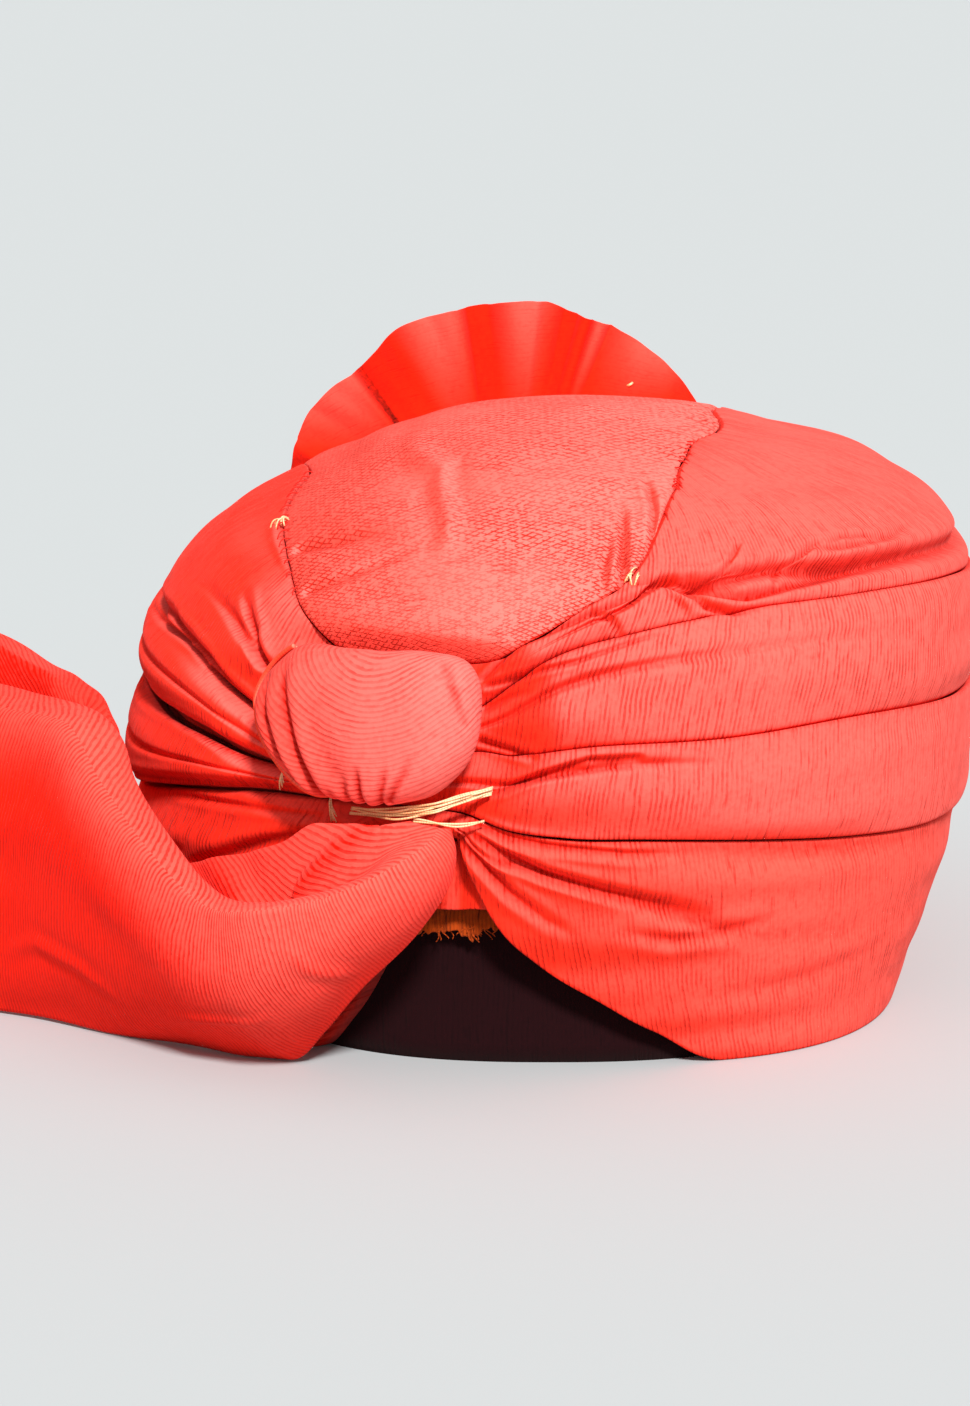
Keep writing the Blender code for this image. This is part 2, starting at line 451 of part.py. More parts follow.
# Tail: the loose end, a wide strip folded along its upper edge, which leaves the tie, stands on
# its lower edge and turns back beside the body. Positions as shares of the half width, half
# length and crown height: hem, rim and back edge; bulge, roll and tuck as shares of the crown height
TAIL = np.array([
    # hem x, y, z            rim x, y, z             back x, y, z            bulge  roll   tuck
    (-0.222, -1.016, 0.436, -0.240, -1.034, 0.438, -0.300, -1.012, 0.445, 0.004, 0.008, 0.000),
    (-0.210, -1.036, 0.396, -0.262, -1.074, 0.422, -0.352, -1.010, 0.440, 0.010, 0.015, 0.010),
    (-0.228, -1.050, 0.342, -0.318, -1.108, 0.397, -0.418, -0.985, 0.436, 0.015, 0.025, 0.030),
    (-0.289, -1.026, 0.272, -0.395, -1.120, 0.366, -0.496, -0.950, 0.432, 0.030, 0.030, 0.060),
    (-0.395, -0.968, 0.176, -0.490, -1.111, 0.334, -0.570, -0.912, 0.393, 0.045, 0.035, 0.090),
    (-0.488, -0.889, 0.072, -0.592, -1.087, 0.316, -0.649, -0.860, 0.366, 0.060, 0.040, 0.110),
    (-0.569, -0.815, 0.010, -0.689, -1.040, 0.302, -0.728, -0.800, 0.340, 0.070, 0.040, 0.100),
    (-0.691, -0.778, 0.008, -0.777, -0.984, 0.326, -0.808, -0.740, 0.305, 0.070, 0.045, 0.060),
    (-0.840, -0.698, 0.008, -0.878, -0.905, 0.392, -0.900, -0.760, 0.215, 0.070, 0.055, 0.020),
    (-1.002, -0.619, 0.008, -0.969, -0.825, 0.471, -1.000, -0.690, 0.225, 0.060, 0.065, 0.000),
    (-1.170, -0.524, 0.008, -1.063, -0.730, 0.558, -1.110, -0.600, 0.290, 0.050, 0.070, 0.000),
    (-1.310, -0.440, 0.008, -1.225, -0.620, 0.566, -1.255, -0.500, 0.300, 0.045, 0.070, 0.000),
    (-1.470, -0.300, 0.008, -1.430, -0.430, 0.585, -1.405, -0.330, 0.320, 0.040, 0.075, 0.000),
    (-1.590, -0.100, 0.008, -1.605, -0.150, 0.600, -1.510, -0.115, 0.345, 0.030, 0.080, 0.000),
    (-1.595, 0.080, 0.008, -1.620, 0.110, 0.602, -1.520, 0.060, 0.345, 0.030, 0.080, 0.000),
    (-1.490, 0.185, 0.008, -1.500, 0.215, 0.592, -1.450, 0.115, 0.340, 0.030, 0.080, 0.000),
    (-1.330, 0.185, 0.014, -1.330, 0.205, 0.554, -1.320, 0.090, 0.325, 0.030, 0.075, 0.000),
    (-1.205, 0.155, 0.050, -1.195, 0.170, 0.500, -1.195, 0.065, 0.300, 0.030, 0.065, 0.000),
    (-1.125, 0.120, 0.110, -1.120, 0.140, 0.478, -1.125, 0.050, 0.300, 0.025, 0.060, 0.000),
    (-1.066, 0.080, 0.185, -1.062, 0.100, 0.446, -1.070, 0.030, 0.305, 0.020, 0.050, 0.000),
    (-1.040, 0.052, 0.262, -1.036, 0.065, 0.408, -1.042, 0.015, 0.320, 0.015, 0.040, 0.000),
])
BODY_SIZE = np.array([HALF_WIDTH, HALF_LENGTH, CROWN_HEIGHT])
TAIL_STATIONS = 42
TAIL_ACROSS = 13
at_rows = np.linspace(0, 1, len(TAIL))
stations = np.linspace(0, 1, TAIL_STATIONS)
columns = np.stack([flow(stations, at_rows, TAIL[:, k]) for k in range(12)], -1)
hem, rim, back = (columns[:, 3 * k:3 * k + 3] * BODY_SIZE for k in range(3))
heading = np.gradient(rim, axis=0)
outward = np.stack([-heading[:, 1], heading[:, 0], 0 * heading[:, 0]], -1)
outward /= np.linalg.norm(outward, axis=1, keepdims=True)
bulge, roll, tuck = (columns[:, k, None] * CROWN_HEIGHT for k in (9, 10, 11))
upright = np.array([0, 0, 1.0])
turned = rim - outward * roll + upright * roll * 0.1
valley = (turned + back) / 2 - upright * tuck
controls = np.stack([hem, hem + (rim - hem) * 0.30 + outward * bulge,
                     hem + (rim - hem) * 0.68 + outward * bulge * 0.9,
                     rim, turned, valley, back], 1)
shares = np.array([0.0, 0.2, 0.42, 0.60, 0.68, 0.84, 1.0])
across = np.array([0.0, 0.1, 0.2, 0.31, 0.42, 0.52, 0.60, 0.64, 0.68, 0.76, 0.84, 0.92, 1.0])
grid = np.array([np.stack([flow(across, shares, station[:, k]) for k in range(3)], -1)
                 for station in controls])
thick_sheet("tail", grid, CLOTH, (0.93, 0.10, 0.07))
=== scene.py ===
"""Looks of the tied turban pagri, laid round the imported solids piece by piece.

Metres, +Z up. The origin is the middle of the head opening. The side with the knot and the
loose tail faces -Y. Azimuth is counted in degrees round Z from -Y (0) towards +X (90), and
climb runs from 0 at the rim to 1 at the crown's top.
"""
import math

import bmesh
import bpy
import numpy as np
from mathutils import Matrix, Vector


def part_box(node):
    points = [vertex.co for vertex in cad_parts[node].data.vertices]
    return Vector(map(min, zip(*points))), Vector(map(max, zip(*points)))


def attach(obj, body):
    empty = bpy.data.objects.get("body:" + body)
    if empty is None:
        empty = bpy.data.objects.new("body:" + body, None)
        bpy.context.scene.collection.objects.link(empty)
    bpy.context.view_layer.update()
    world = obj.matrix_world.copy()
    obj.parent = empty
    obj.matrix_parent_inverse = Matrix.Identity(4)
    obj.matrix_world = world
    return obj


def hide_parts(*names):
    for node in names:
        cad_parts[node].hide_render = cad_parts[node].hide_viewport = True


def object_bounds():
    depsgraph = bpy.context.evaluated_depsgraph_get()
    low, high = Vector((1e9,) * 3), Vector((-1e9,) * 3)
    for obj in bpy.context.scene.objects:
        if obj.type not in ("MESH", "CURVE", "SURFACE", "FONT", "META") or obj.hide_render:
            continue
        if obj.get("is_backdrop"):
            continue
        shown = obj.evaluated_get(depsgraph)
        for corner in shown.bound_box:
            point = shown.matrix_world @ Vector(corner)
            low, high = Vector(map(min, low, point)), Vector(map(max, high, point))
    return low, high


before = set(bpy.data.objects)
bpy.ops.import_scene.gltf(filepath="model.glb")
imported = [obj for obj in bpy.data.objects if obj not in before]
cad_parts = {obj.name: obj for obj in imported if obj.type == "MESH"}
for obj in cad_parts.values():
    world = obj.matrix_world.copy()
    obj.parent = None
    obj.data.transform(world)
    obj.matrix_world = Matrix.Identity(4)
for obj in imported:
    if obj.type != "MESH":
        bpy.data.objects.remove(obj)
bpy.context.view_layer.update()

# Lining cap
# A stiff shell covered in maroon cotton, open below for the head. Everything else is wound
# over it, and from outside it shows only in the arch under the knot. Its cotton is made near-black
# as painted shade, standing for the deep shadow in the arch.
cap_low, cap_high = (np.array(corner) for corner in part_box("inner_cap"))
CAP_HALF_WIDTH, CAP_FRONT, CAP_BACK, CAP_HEIGHT = cap_high[0], -cap_low[1], cap_high[1], cap_high[2]
CAP_WALL = 0.0025
CAP_SQUARE = 2.5
CAP = np.array([
    # climb, height and reach as shares
    (0.00, 0.00, 1.00), (0.14, 0.15, 1.00), (0.30, 0.35, 0.995), (0.44, 0.53, 0.97), (0.57, 0.69, 0.92),
    (0.70, 0.82, 0.81), (0.81, 0.91, 0.65), (0.91, 0.97, 0.41), (1.00, 1.00, 0.00)])
# Azimuths of every ring, closer together at the front, where the folds are fine
ROUND = np.radians(np.concatenate([
    np.arange(-180.0, -84.0, 1.5), np.arange(-84.0, 60.0, 0.4), np.arange(60.0, 180.0, 1.5)]))
# Near-black maroon: the cap's colour with the arch's painted shade in it
MAROON_SHADE, MAROON_SHADE_DEEP = (0.012, 0.0018, 0.0026), (0.005, 0.0010, 0.0015)


def flow(x, xs, ys):
    """Smooth curve through the rows (xs, ys): a cubic between each two, level at every peak and
    never so steep that it overshoots them."""
    x, xs, ys = np.asarray(x, float), np.asarray(xs, float), np.asarray(ys, float)
    step = np.diff(xs)
    rise = np.diff(ys) / step
    before, after = np.r_[rise[0], rise], np.r_[rise, rise[-1]]
    limit = 3 * np.minimum(abs(before), abs(after))
    slope = np.where(before * after <= 0, 0, np.clip(np.gradient(ys, xs), -limit, limit))
    i = np.clip(np.searchsorted(xs, x, side="right") - 1, 0, len(step) - 1)
    t = (x - xs[i]) / step[i]
    return ((1 + 2 * t) * (1 - t) ** 2 * ys[i] + t * (1 - t) ** 2 * step[i] * slope[i]
            + t * t * (3 - 2 * t) * ys[i + 1] + t * t * (t - 1) * step[i] * slope[i + 1])


def oval(a, square):
    """Sine and cosine of a, pushed out to a rounded rectangle of that squareness."""
    k = (abs(np.sin(a)) ** square + abs(np.cos(a)) ** square) ** (-1 / square)
    return np.sin(a) * k, np.cos(a) * k


def cap(a, c, out=0.0):
    """Point of the cap: the oval at azimuth a times the reach at climb c, moved out by a distance."""
    a, c = np.broadcast_arrays(np.asarray(a, float), np.asarray(c, float))
    z, reach = flow(c, CAP[:, 0], CAP[:, 1]), flow(c, CAP[:, 0], CAP[:, 2])
    s, k = oval(a, CAP_SQUARE)
    length = np.where(np.cos(a) > 0, CAP_FRONT, CAP_BACK) + out
    return np.stack([(CAP_HALF_WIDTH + out) * reach * s, -length * reach * k, (CAP_HEIGHT + out) * z], -1)


def smooth_step(x, low, high):
    """0 below low, 1 above high and an even slope between."""
    t = np.clip((x - low) / (high - low), 0, 1)
    return t * t * (3 - 2 * t)


def grid_quads(rows, columns, close_rows=False, close_columns=False):
    """Corner numbers of the quads between a grid's points, joined round where the grid closes."""
    i, j = np.meshgrid(np.arange(rows - (not close_rows)), np.arange(columns - (not close_columns)),
                       indexing="ij")
    below, beside = (i + 1) % rows, (j + 1) % columns
    return np.stack([i * columns + j, below * columns + j, below * columns + beside,
                     i * columns + beside], -1).reshape(-1, 4)


# Direction towards the light: cloth whose normal looks this way gets the painted light colour
PAINTED_LIGHT_FROM = np.array([0.70, -0.46, 0.55])


def lay_cloth(name, points, faces, weave, painted_shade, finish, closed=True, extra_light=0.0, light_given=None):
    """One piece from its points and faces. Its map "weave" holds the way along and across the
    threads in metres. Its painted shade holds how deep in a fold or how hidden each point is, and its
    painted light is strongest where its normal looks towards the light, or as strong as given."""
    mesh = bpy.data.meshes.new(name)
    mesh.from_pydata(np.asarray(points).reshape(-1, 3).tolist(), [], [list(map(int, f)) for f in faces])
    if closed:
        shape = bmesh.new()
        shape.from_mesh(mesh)
        bmesh.ops.recalc_face_normals(shape, faces=shape.faces)
        shape.to_mesh(mesh)
        shape.free()
    mesh.shade_smooth()
    corners = np.empty(len(mesh.loops), int)
    mesh.loops.foreach_get("vertex_index", corners)
    flat = np.asarray(weave, float).reshape(-1, 2)[corners]
    mesh.uv_layers.new(name="weave").data.foreach_set("uv", flat.ravel())
    normals = np.empty(3 * len(mesh.vertices))
    mesh.vertices.foreach_get("normal", normals)
    faced = normals.reshape(-1, 3) @ PAINTED_LIGHT_FROM
    # Share of the painted light colour at each point
    light_share = smooth_step(faced, 0.0, 0.80) + extra_light if light_given is None else np.asarray(light_given, float).ravel()
    shades = {"painted_shade": np.clip(np.asarray(painted_shade, float).ravel(), 0, 1), "painted_light": np.clip(light_share, 0, 1)}
    for key, values in shades.items():
        mesh.attributes.new(key, "FLOAT", "POINT").data.foreach_set("value", values)
    made = bpy.data.objects.new(name, mesh)
    made.data.materials.append(finish)
    bpy.context.scene.collection.objects.link(made)
    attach(made, "root")
    return made


def put(tree, kind, sockets=None, **settings):
    """One shader node with its settings and its sockets' values or links."""
    made = tree.nodes.new("ShaderNode" + kind)
    for key, value in settings.items():
        setattr(made, key, value)
    for key, value in (sockets or {}).items():
        if isinstance(value, bpy.types.NodeSocket):
            tree.links.new(value, made.inputs[key])
        else:
            made.inputs[key].default_value = value
    return made


def reckon(tree, operation, *terms):
    """Result of one sum on sockets and numbers."""
    return put(tree, "Math", dict(enumerate(terms)), operation=operation).outputs[0]


def between(tree, value, low, high):
    """0 where value is low and 1 where it is high, with soft ends."""
    return put(tree, "MapRange", {"Value": value, "From Min": low, "From Max": high},
               interpolation_type="SMOOTHSTEP").outputs["Result"]


def blend_colours(tree, share, first, second):
    """First colour where share is 0, second where it is 1; each is a colour or a socket."""
    made = put(tree, "Mix", {"Factor": share}, data_type="RGBA")
    for key, colour in (("A", first), ("B", second)):
        socket = [s for s in made.inputs if s.name == key and s.type == "RGBA"][0]
        if isinstance(colour, bpy.types.NodeSocket):
            tree.links.new(colour, socket)
        else:
            socket.default_value = (*colour, 1)
    return [s for s in made.outputs if s.type == "RGBA"][0]


# Distance between the slanted threads of the closely woven cloth
NET_PITCH = 0.00112


def cotton(name, painted_light, unlit_colour, deep, pitch=0.00125, ribs=0.75, patchy=0.8, streaks=0.45, diamonds=0.0,
           relief=0.00045):
    """Thin dyed cotton with a matt face. Fine cords across its length, at a pitch in metres, waver
    and die away in patches; thicker threads show as short streaks, or two sets of slanted threads
    cross as a net of diamonds. Its colour goes from the unlit colour to the painted light colour by
    the map of painted light, and to deep with the painted shade in folds, and between the cords."""
    made = bpy.data.materials.new(name)
    made.use_nodes = True
    tree = made.node_tree
    shader = tree.nodes["Principled BSDF"]
    place = put(tree, "TexCoord").outputs["Object"]
    parts = put(tree, "SeparateXYZ", {0: put(tree, "UVMap", uv_map="weave").outputs["UV"]})
    along, across = parts.outputs["X"], parts.outputs["Y"]
    waver, grain, cloud, wide = (
        put(tree, "TexNoise", {"Vector": place, "Scale": scale, "Detail": 2.0}).outputs["Fac"]
        for scale in (60.0, 650.0, 26.0, 9.0))

    shifted = reckon(tree, "ADD", along, reckon(tree, "MULTIPLY", waver, 0.0024))
    shifted = reckon(tree, "ADD", shifted, reckon(tree, "MULTIPLY", grain, 0.0004))
    wave = reckon(tree, "SINE", reckon(tree, "MULTIPLY", shifted, 2 * math.pi / pitch))
    short = put(tree, "CombineXYZ", {0: reckon(tree, "MULTIPLY", along, 420.0),
                                     1: reckon(tree, "MULTIPLY", across, 120.0)}).outputs[0]
    broken = put(tree, "TexNoise", {"Vector": short, "Scale": 1.0, "Detail": 2.0}).outputs["Fac"]
    patch = reckon(tree, "MULTIPLY", between(tree, broken, 0.38, 0.60), between(tree, cloud, 0.34, 0.60))
    patch = reckon(tree, "ADD", reckon(tree, "MULTIPLY", patch, patchy), 1 - patchy)
    groove = reckon(tree, "MULTIPLY", between(tree, wave, -0.20, 0.90), patch)
    thick = put(tree, "CombineXYZ", {0: reckon(tree, "MULTIPLY", along, 1150.0),
                                     1: reckon(tree, "MULTIPLY", across, 120.0)}).outputs[0]
    streak = put(tree, "TexNoise", {"Vector": thick, "Scale": 1.0, "Detail": 1.0}).outputs["Fac"]
    streak = reckon(tree, "MULTIPLY", between(tree, streak, 0.58, 0.74), between(tree, cloud, 0.62, 0.42))
    marks = reckon(tree, "ADD", reckon(tree, "MULTIPLY", groove, ribs),
                   reckon(tree, "MULTIPLY", streak, streaks))
    if diamonds:
        slants = []
        for sign in (1.0, -1.0):
            line = reckon(tree, "ADD", shifted, reckon(tree, "MULTIPLY", across, 0.70 * sign))
            slants.append(reckon(tree, "SINE", reckon(tree, "MULTIPLY", line, 2 * math.pi / NET_PITCH)))
        net = between(tree, reckon(tree, "MAXIMUM", *slants), 0.45, 1.0)
        net = reckon(tree, "MULTIPLY", net, reckon(tree, "ADD", between(tree, cloud, 0.30, 0.66), 0.45))
        net = reckon(tree, "MULTIPLY", net, between(tree, grain, 0.32, 0.56))
        marks = reckon(tree, "ADD", marks, reckon(tree, "MULTIPLY", net, diamonds))

    painted_shade = put(tree, "Attribute", attribute_name="painted_shade").outputs["Fac"]
    light_and_cloud = put(tree, "Attribute", attribute_name="painted_light").outputs["Fac"]
    # Random cloudy patches of tone are added to the painted light
    cloudy = reckon(tree, "MULTIPLY", reckon(tree, "SUBTRACT", wide, 0.5), 0.65)
    light_and_cloud = reckon(tree, "ADD", light_and_cloud, cloudy)
    colour = blend_colours(tree, between(tree, light_and_cloud, 0.0, 1.0), unlit_colour, painted_light)
    # Darker in the rib grooves and grain, and with the painted shade in folds
    darker = reckon(tree, "ADD", reckon(tree, "MULTIPLY", marks, 0.80),
                    reckon(tree, "MULTIPLY", painted_shade, 0.85))
    speckled = reckon(tree, "MULTIPLY", reckon(tree, "SUBTRACT", grain, 0.5), 0.70)
    darker = reckon(tree, "ADD", darker, speckled)
    darker = put(tree, "Clamp", {0: darker}).outputs[0]
    tree.links.new(blend_colours(tree, darker, colour, deep), shader.inputs["Base Color"])
    height = reckon(tree, "SUBTRACT", reckon(tree, "MULTIPLY", grain, 0.4), marks)
    bump = put(tree, "Bump", {"Height": height, "Distance": relief, "Strength": 0.85})
    tree.links.new(bump.outputs["Normal"], shader.inputs["Normal"])
    shader.inputs["Roughness"].default_value = 0.9
    shader.inputs["Specular IOR Level"].default_value = 0.06
    shader.inputs["Sheen Weight"].default_value = 0.04
    shader.inputs["Sheen Roughness"].default_value = 0.5
    shader.inputs["Sheen Tint"].default_value = (1.0, 0.72, 0.66, 1)
    return made


CAP_RINGS = 30
climbs = np.linspace(0, 0.985, CAP_RINGS)
outside = np.array([cap(ROUND, c) for c in climbs])
inside = np.array([cap(ROUND, c, -CAP_WALL) for c in climbs])
shell = np.concatenate([inside[::-1], outside])
poles = np.array([cap(0.0, 1.0, -CAP_WALL), cap(0.0, 1.0)])
points = np.vstack([shell.reshape(-1, 3), poles])
count = len(ROUND)


def close_dome(rings, count):
    """Quads of a stack of rings and the fans that close it at its first and last ring, whose
    middles are the last two points."""
    quads = grid_quads(rings, count, close_columns=True)
    i = np.arange(count)
    j, last = (i + 1) % count, (rings - 1) * count
    first = np.stack([j, i, np.full(count, rings * count)], -1)
    end = np.stack([last + i, last + j, np.full(count, rings * count + 1)], -1)
    return [*quads, *first, *end]


weave = np.stack([points[:, 0] + points[:, 1] * 0.3, points[:, 2] + points[:, 1] * 0.2], -1)
lining_cap = lay_cloth("lining_cap", points, close_dome(len(shell), count), weave, np.zeros(len(points)),
                       cotton("maroon_shade_cotton", MAROON_SHADE, MAROON_SHADE, MAROON_SHADE_DEEP, pitch=0.0012, ribs=0.5,
                              streaks=0.5, relief=0.0002))
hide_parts("inner_cap")

# Lowest wrap
# The last length of red cotton, wound low round the rim. At the front it is lifted in a fold that
# opens the arch, and its free flap lies over the right side with its edge turned under.
HALF_WIDTH, HALF_LENGTH, CROWN_HEIGHT = 0.114, 0.126, 0.150
# A climb of 1 is this long over the bulging side, and the wraps start this far off the cap
CLIMB_LENGTH = 1.19 * CROWN_HEIGHT
SEAT = 0.0011
KNOT_AZIMUTH, KNOT_CLIMB = -24.8, 0.494
HOLLOW_AZIMUTH, HOLLOW_CLIMB, HOLLOW_DEPTH = 21.0, 0.155, 0.24
EDGE_ROUND = 0.0014
# Coral is the red cloth's painted light colour, red its colour out of the light, and deep red the painted
# shade in folds and the colour between the cords
CORAL, RED, DEEP_RED = (0.93, 0.104, 0.081), (0.93, 0.024, 0.008), (0.46, 0.006, 0.0015)
BODY = np.array([
    # climb, height, left, right, front and back reach as shares, squareness
    (0.00, 0.000, 0.83, 0.82, 0.85, 0.84, 2.80), (0.14, 0.140, 0.915, 0.885, 0.91, 0.91, 2.55),
    (0.30, 0.340, 0.985, 0.975, 0.97, 0.97, 2.30), (0.44, 0.520, 0.955, 0.995, 1.00, 1.00, 2.25),
    (0.57, 0.680, 0.90, 1.00, 0.98, 0.98, 2.25), (0.70, 0.810, 0.730, 0.945, 0.88, 0.88, 2.25),
    (0.81, 0.905, 0.485, 0.750, 0.70, 0.70, 2.25), (0.91, 0.970, 0.25, 0.425, 0.42, 0.42, 2.10),
    (1.00, 1.000, -0.09, 0.09, 0.00, 0.00, 2.00)])
HEM = np.array([
    # azimuth, climb, depth of the edge below and above, slant inwards
    (-180, 0.000, 0.0, 0.90, 0.00), (-60, 0.000, 0.0, 0.90, 0.00), (-38, 0.000, 0.0, 0.90, 0.00),
    (-32, 0.060, 0.0, 0.90, 0.01), (-26, 0.170, 0.0, 0.90, 0.01), (-20, 0.300, 0.0, 0.90, 0.00),
    (-16, 0.350, 0.0, 0.90, 0.00), (-13, 0.358, 0.0, 0.90, 0.00), (-10, 0.300, 0.0, 0.92, 0.02),
    (-7, 0.245, 0.0, 0.94, 0.03), (-1, 0.180, 0.0, 0.95, 0.04), (7, 0.125, 0.0, 0.95, 0.03),
    (15, 0.065, 0.0, 0.94, 0.02), (26, 0.000, 0.0, 0.92, 0.00), (40, 0.000, 0.0, 0.90, 0.00),
    (110, 0.000, 0.0, 0.90, 0.00), (180, 0.000, 0.0, 0.90, 0.00)])
LOWER_CREASE = np.array([
    # azimuth, climb, depth of the edges below and above, slant inwards
    (-180, 0.310, 0.84, 0.96, 0.03), (-120, 0.310, 0.82, 0.96, 0.03), (-80, 0.320, 0.80, 0.97, 0.03),
    (-49, 0.378, 0.80, 0.96, 0.00), (-38, 0.395, 0.82, 0.92, 0.00), (-26, 0.398, 0.84, 0.88, 0.00),
    (-12, 0.390, 0.86, 0.90, 0.00), (-7, 0.370, 0.84, 0.94, 0.00), (1, 0.357, 0.82, 0.97, 0.01),
    (11, 0.352, 0.80, 0.98, 0.02), (26, 0.340, 0.80, 0.98, 0.03), (40, 0.325, 0.80, 0.98, 0.03),
    (64, 0.305, 0.80, 0.98, 0.03), (110, 0.300, 0.82, 0.97, 0.03), (145, 0.305, 0.84, 0.96, 0.03),
    (180, 0.310, 0.84, 0.96, 0.03)])
FLAP_FOLD = np.array([
    # azimuth, share of the wrap's height, depth
    (-180, 0.50, 0.00), (-90, 0.74, 0.05), (-54, 0.74, 0.12), (-41, 0.76, 0.12), (-26, 0.70, 0.05),
    (-13, 0.50, 0.03), (-4, 0.74, 0.14), (7, 0.70, 0.14), (17, 0.68, 0.12), (26, 0.64, 0.06),
    (45, 0.60, 0.02), (120, 0.50, 0.00), (180, 0.50, 0.00)])
FOLDS = [
    # width in millimetres, then azimuth, climb and depth in millimetres
    (1.2, [(-11, 0.366, 1.8), (-7, 0.340, 2.0), (-1, 0.310, 1.8), (7, 0.285, 1.1), (14, 0.265, 0.5),
           (20, 0.25, 0)]),
    (1.0, [(-11, 0.378, 1.4), (-6, 0.358, 1.4), (-1, 0.347, 1.3), (9, 0.334, 1.0), (18, 0.330, 0)]),
    (1.3, [(-12, 0.356, 2.0), (-8, 0.314, 2.0), (-5, 0.282, 1.4), (0, 0.245, 0.6), (4, 0.225, 0)]),
    (3.2, [(6, 0.345, 0), (16, 0.343, 0.7), (27, 0.330, 1.1), (38, 0.318, 1.1), (56, 0.300, 0.5),
           (68, 0.29, 0)]),
    (0.8, [(-11, 0.412, 1.0), (-7, 0.422, 1.4), (-3, 0.440, 1.4), (3, 0.459, 1.3), (9, 0.462, 0.9),
           (10, 0.462, 0)]),
    (0.8, [(-11, 0.487, 1.0), (-7, 0.476, 1.1), (-4, 0.464, 0.6)]),
    (0.8, [(-11, 0.530, 1.2), (-8, 0.545, 1.0), (-5, 0.552, 0)]),
    (0.7, [(-11, 0.560, 1.0), (-1, 0.587, 1.2), (7, 0.622, 0.8), (10, 0.632, 0)]),
    (0.8, [(-12, 0.568, 1.0), (-9, 0.612, 1.3), (-2, 0.652, 1.3), (4, 0.682, 1.1), (8, 0.698, 0.6)]),
    (0.8, [(-1, 0.660, 0.8), (2, 0.650, 1.3), (4, 0.630, 0.6)]),
    (0.7, [(9, 0.690, 0.6), (11, 0.675, 1.2), (13, 0.652, 0.4)]),
    (0.9, [(12, 0.690, 0.9), (15, 0.668, 2.0), (19, 0.655, 1.5), (24, 0.660, 0)]),
    (1.0, [(4, 0.703, 1.0), (10, 0.706, 1.9), (14, 0.704, 2.2), (19, 0.718, 1.5), (29, 0.726, 0)]),
    (1.5, [(12, 0.702, 1.6), (16, 0.690, 3.0), (21, 0.682, 3.2), (28, 0.694, 2.8), (39, 0.704, 2.0),
           (49, 0.706, 1.0), (62, 0.70, 0)]),
    (1.0, [(30, 0.745, 0), (38, 0.735, 1.0), (50, 0.735, 0.9), (60, 0.742, 0)]),
    (1.3, [(-92, 0.556, 1.0), (-80, 0.566, 1.8), (-69, 0.572, 2.4), (-59, 0.558, 2.8), (-53, 0.543, 2.8),
           (-46, 0.508, 2.4), (-40, 0.478, 1.6)]),
    (0.8, [(-90, 0.538, 0.6), (-70, 0.553, 1.1), (-60, 0.552, 0.4)]),
    (1.1, [(-53, 0.640, 0), (-50, 0.622, 1.4), (-46, 0.592, 2.2), (-43, 0.556, 2.0)]),
    (1.2, [(-86, 0.436, 1.0), (-61, 0.452, 1.9), (-52, 0.448, 2.1), (-43, 0.434, 1.9), (-35, 0.421, 1.2)]),
    (1.0, [(-80, 0.322, 0.8), (-54, 0.375, 1.3), (-42, 0.394, 1.3), (-33, 0.408, 0.8)]),
    (0.9, [(-62, 0.345, 0), (-52, 0.357, 0.9), (-42, 0.366, 1.0), (-32, 0.372, 0.4)]),
    (1.4, [(-70, 0.235, 0), (-55, 0.250, 1.7), (-41, 0.312, 2.0), (-29, 0.356, 1.6)]),
    (0.8, [(-66, 0.738, 0.8), (-55, 0.712, 1.0), (-49, 0.693, 0.5)]),
    (1.6, [(8, 0.232, 0), (16, 0.215, 1.0), (24, 0.222, 1.0), (31, 0.238, 0)]),
    (2.4, [(20, 0.120, 0), (34, 0.135, 0.4), (50, 0.165, 0.4), (64, 0.20, 0)]),
    (0.7, [(17, 0.712, 1.0), (18.5, 0.730, 1.2), (20.5, 0.752, 0.8), (22, 0.765, 0)]),
    (0.7, [(26, 0.700, 0.8), (29, 0.722, 1.2), (33, 0.742, 1.0), (37, 0.752, 0)]),
    (0.8, [(36, 0.742, 0), (40, 0.750, 1.0), (45, 0.745, 0.8), (49, 0.738, 0)]),
]
tie_spot = (-17.0, 0.395)


def body(a, c):
    """Point of the outer surface: its height and its four reaches at climb c round the oval."""
    a, c = np.broadcast_arrays(np.asarray(a, float), np.asarray(c, float))
    z, left, right, front, back, square = (flow(c, BODY[:, 0], BODY[:, k]) for k in range(1, 7))
    s, k = oval(a, square)
    return np.stack([HALF_WIDTH * ((right - left) / 2 + (right + left) / 2 * s),
                     HALF_LENGTH * ((back - front) / 2 - (back + front) / 2 * k), CROWN_HEIGHT * z], -1)


def wound(a, c, w):
    """Point between the cap (w = 0) and the outer surface (w = 1)."""
    w = np.asarray(w, float)[..., None]
    return (1 - w) * cap(a, c, SEAT) + w * body(a, c)


def facing(a, c):
    """Normal of the outer surface, from its slopes along and up."""
    e = 1e-3
    c = np.clip(c, e, 1 - e)
    n = np.cross(body(a + e, c) - body(a - e, c), body(a, c + e) - body(a, c - e))
    return n / np.linalg.norm(n, axis=-1, keepdims=True)


def round_flow(a, rows, column):
    """Value of a table's column at azimuth a, read smoothly all the way round."""
    xs = np.r_[rows[-3:-1, 0] - 360, rows[:, 0], rows[1:3, 0] + 360]
    ys = np.r_[rows[-3:-1, column], rows[:, column], rows[1:3, column]]
    return flow(np.degrees(a), xs, ys)


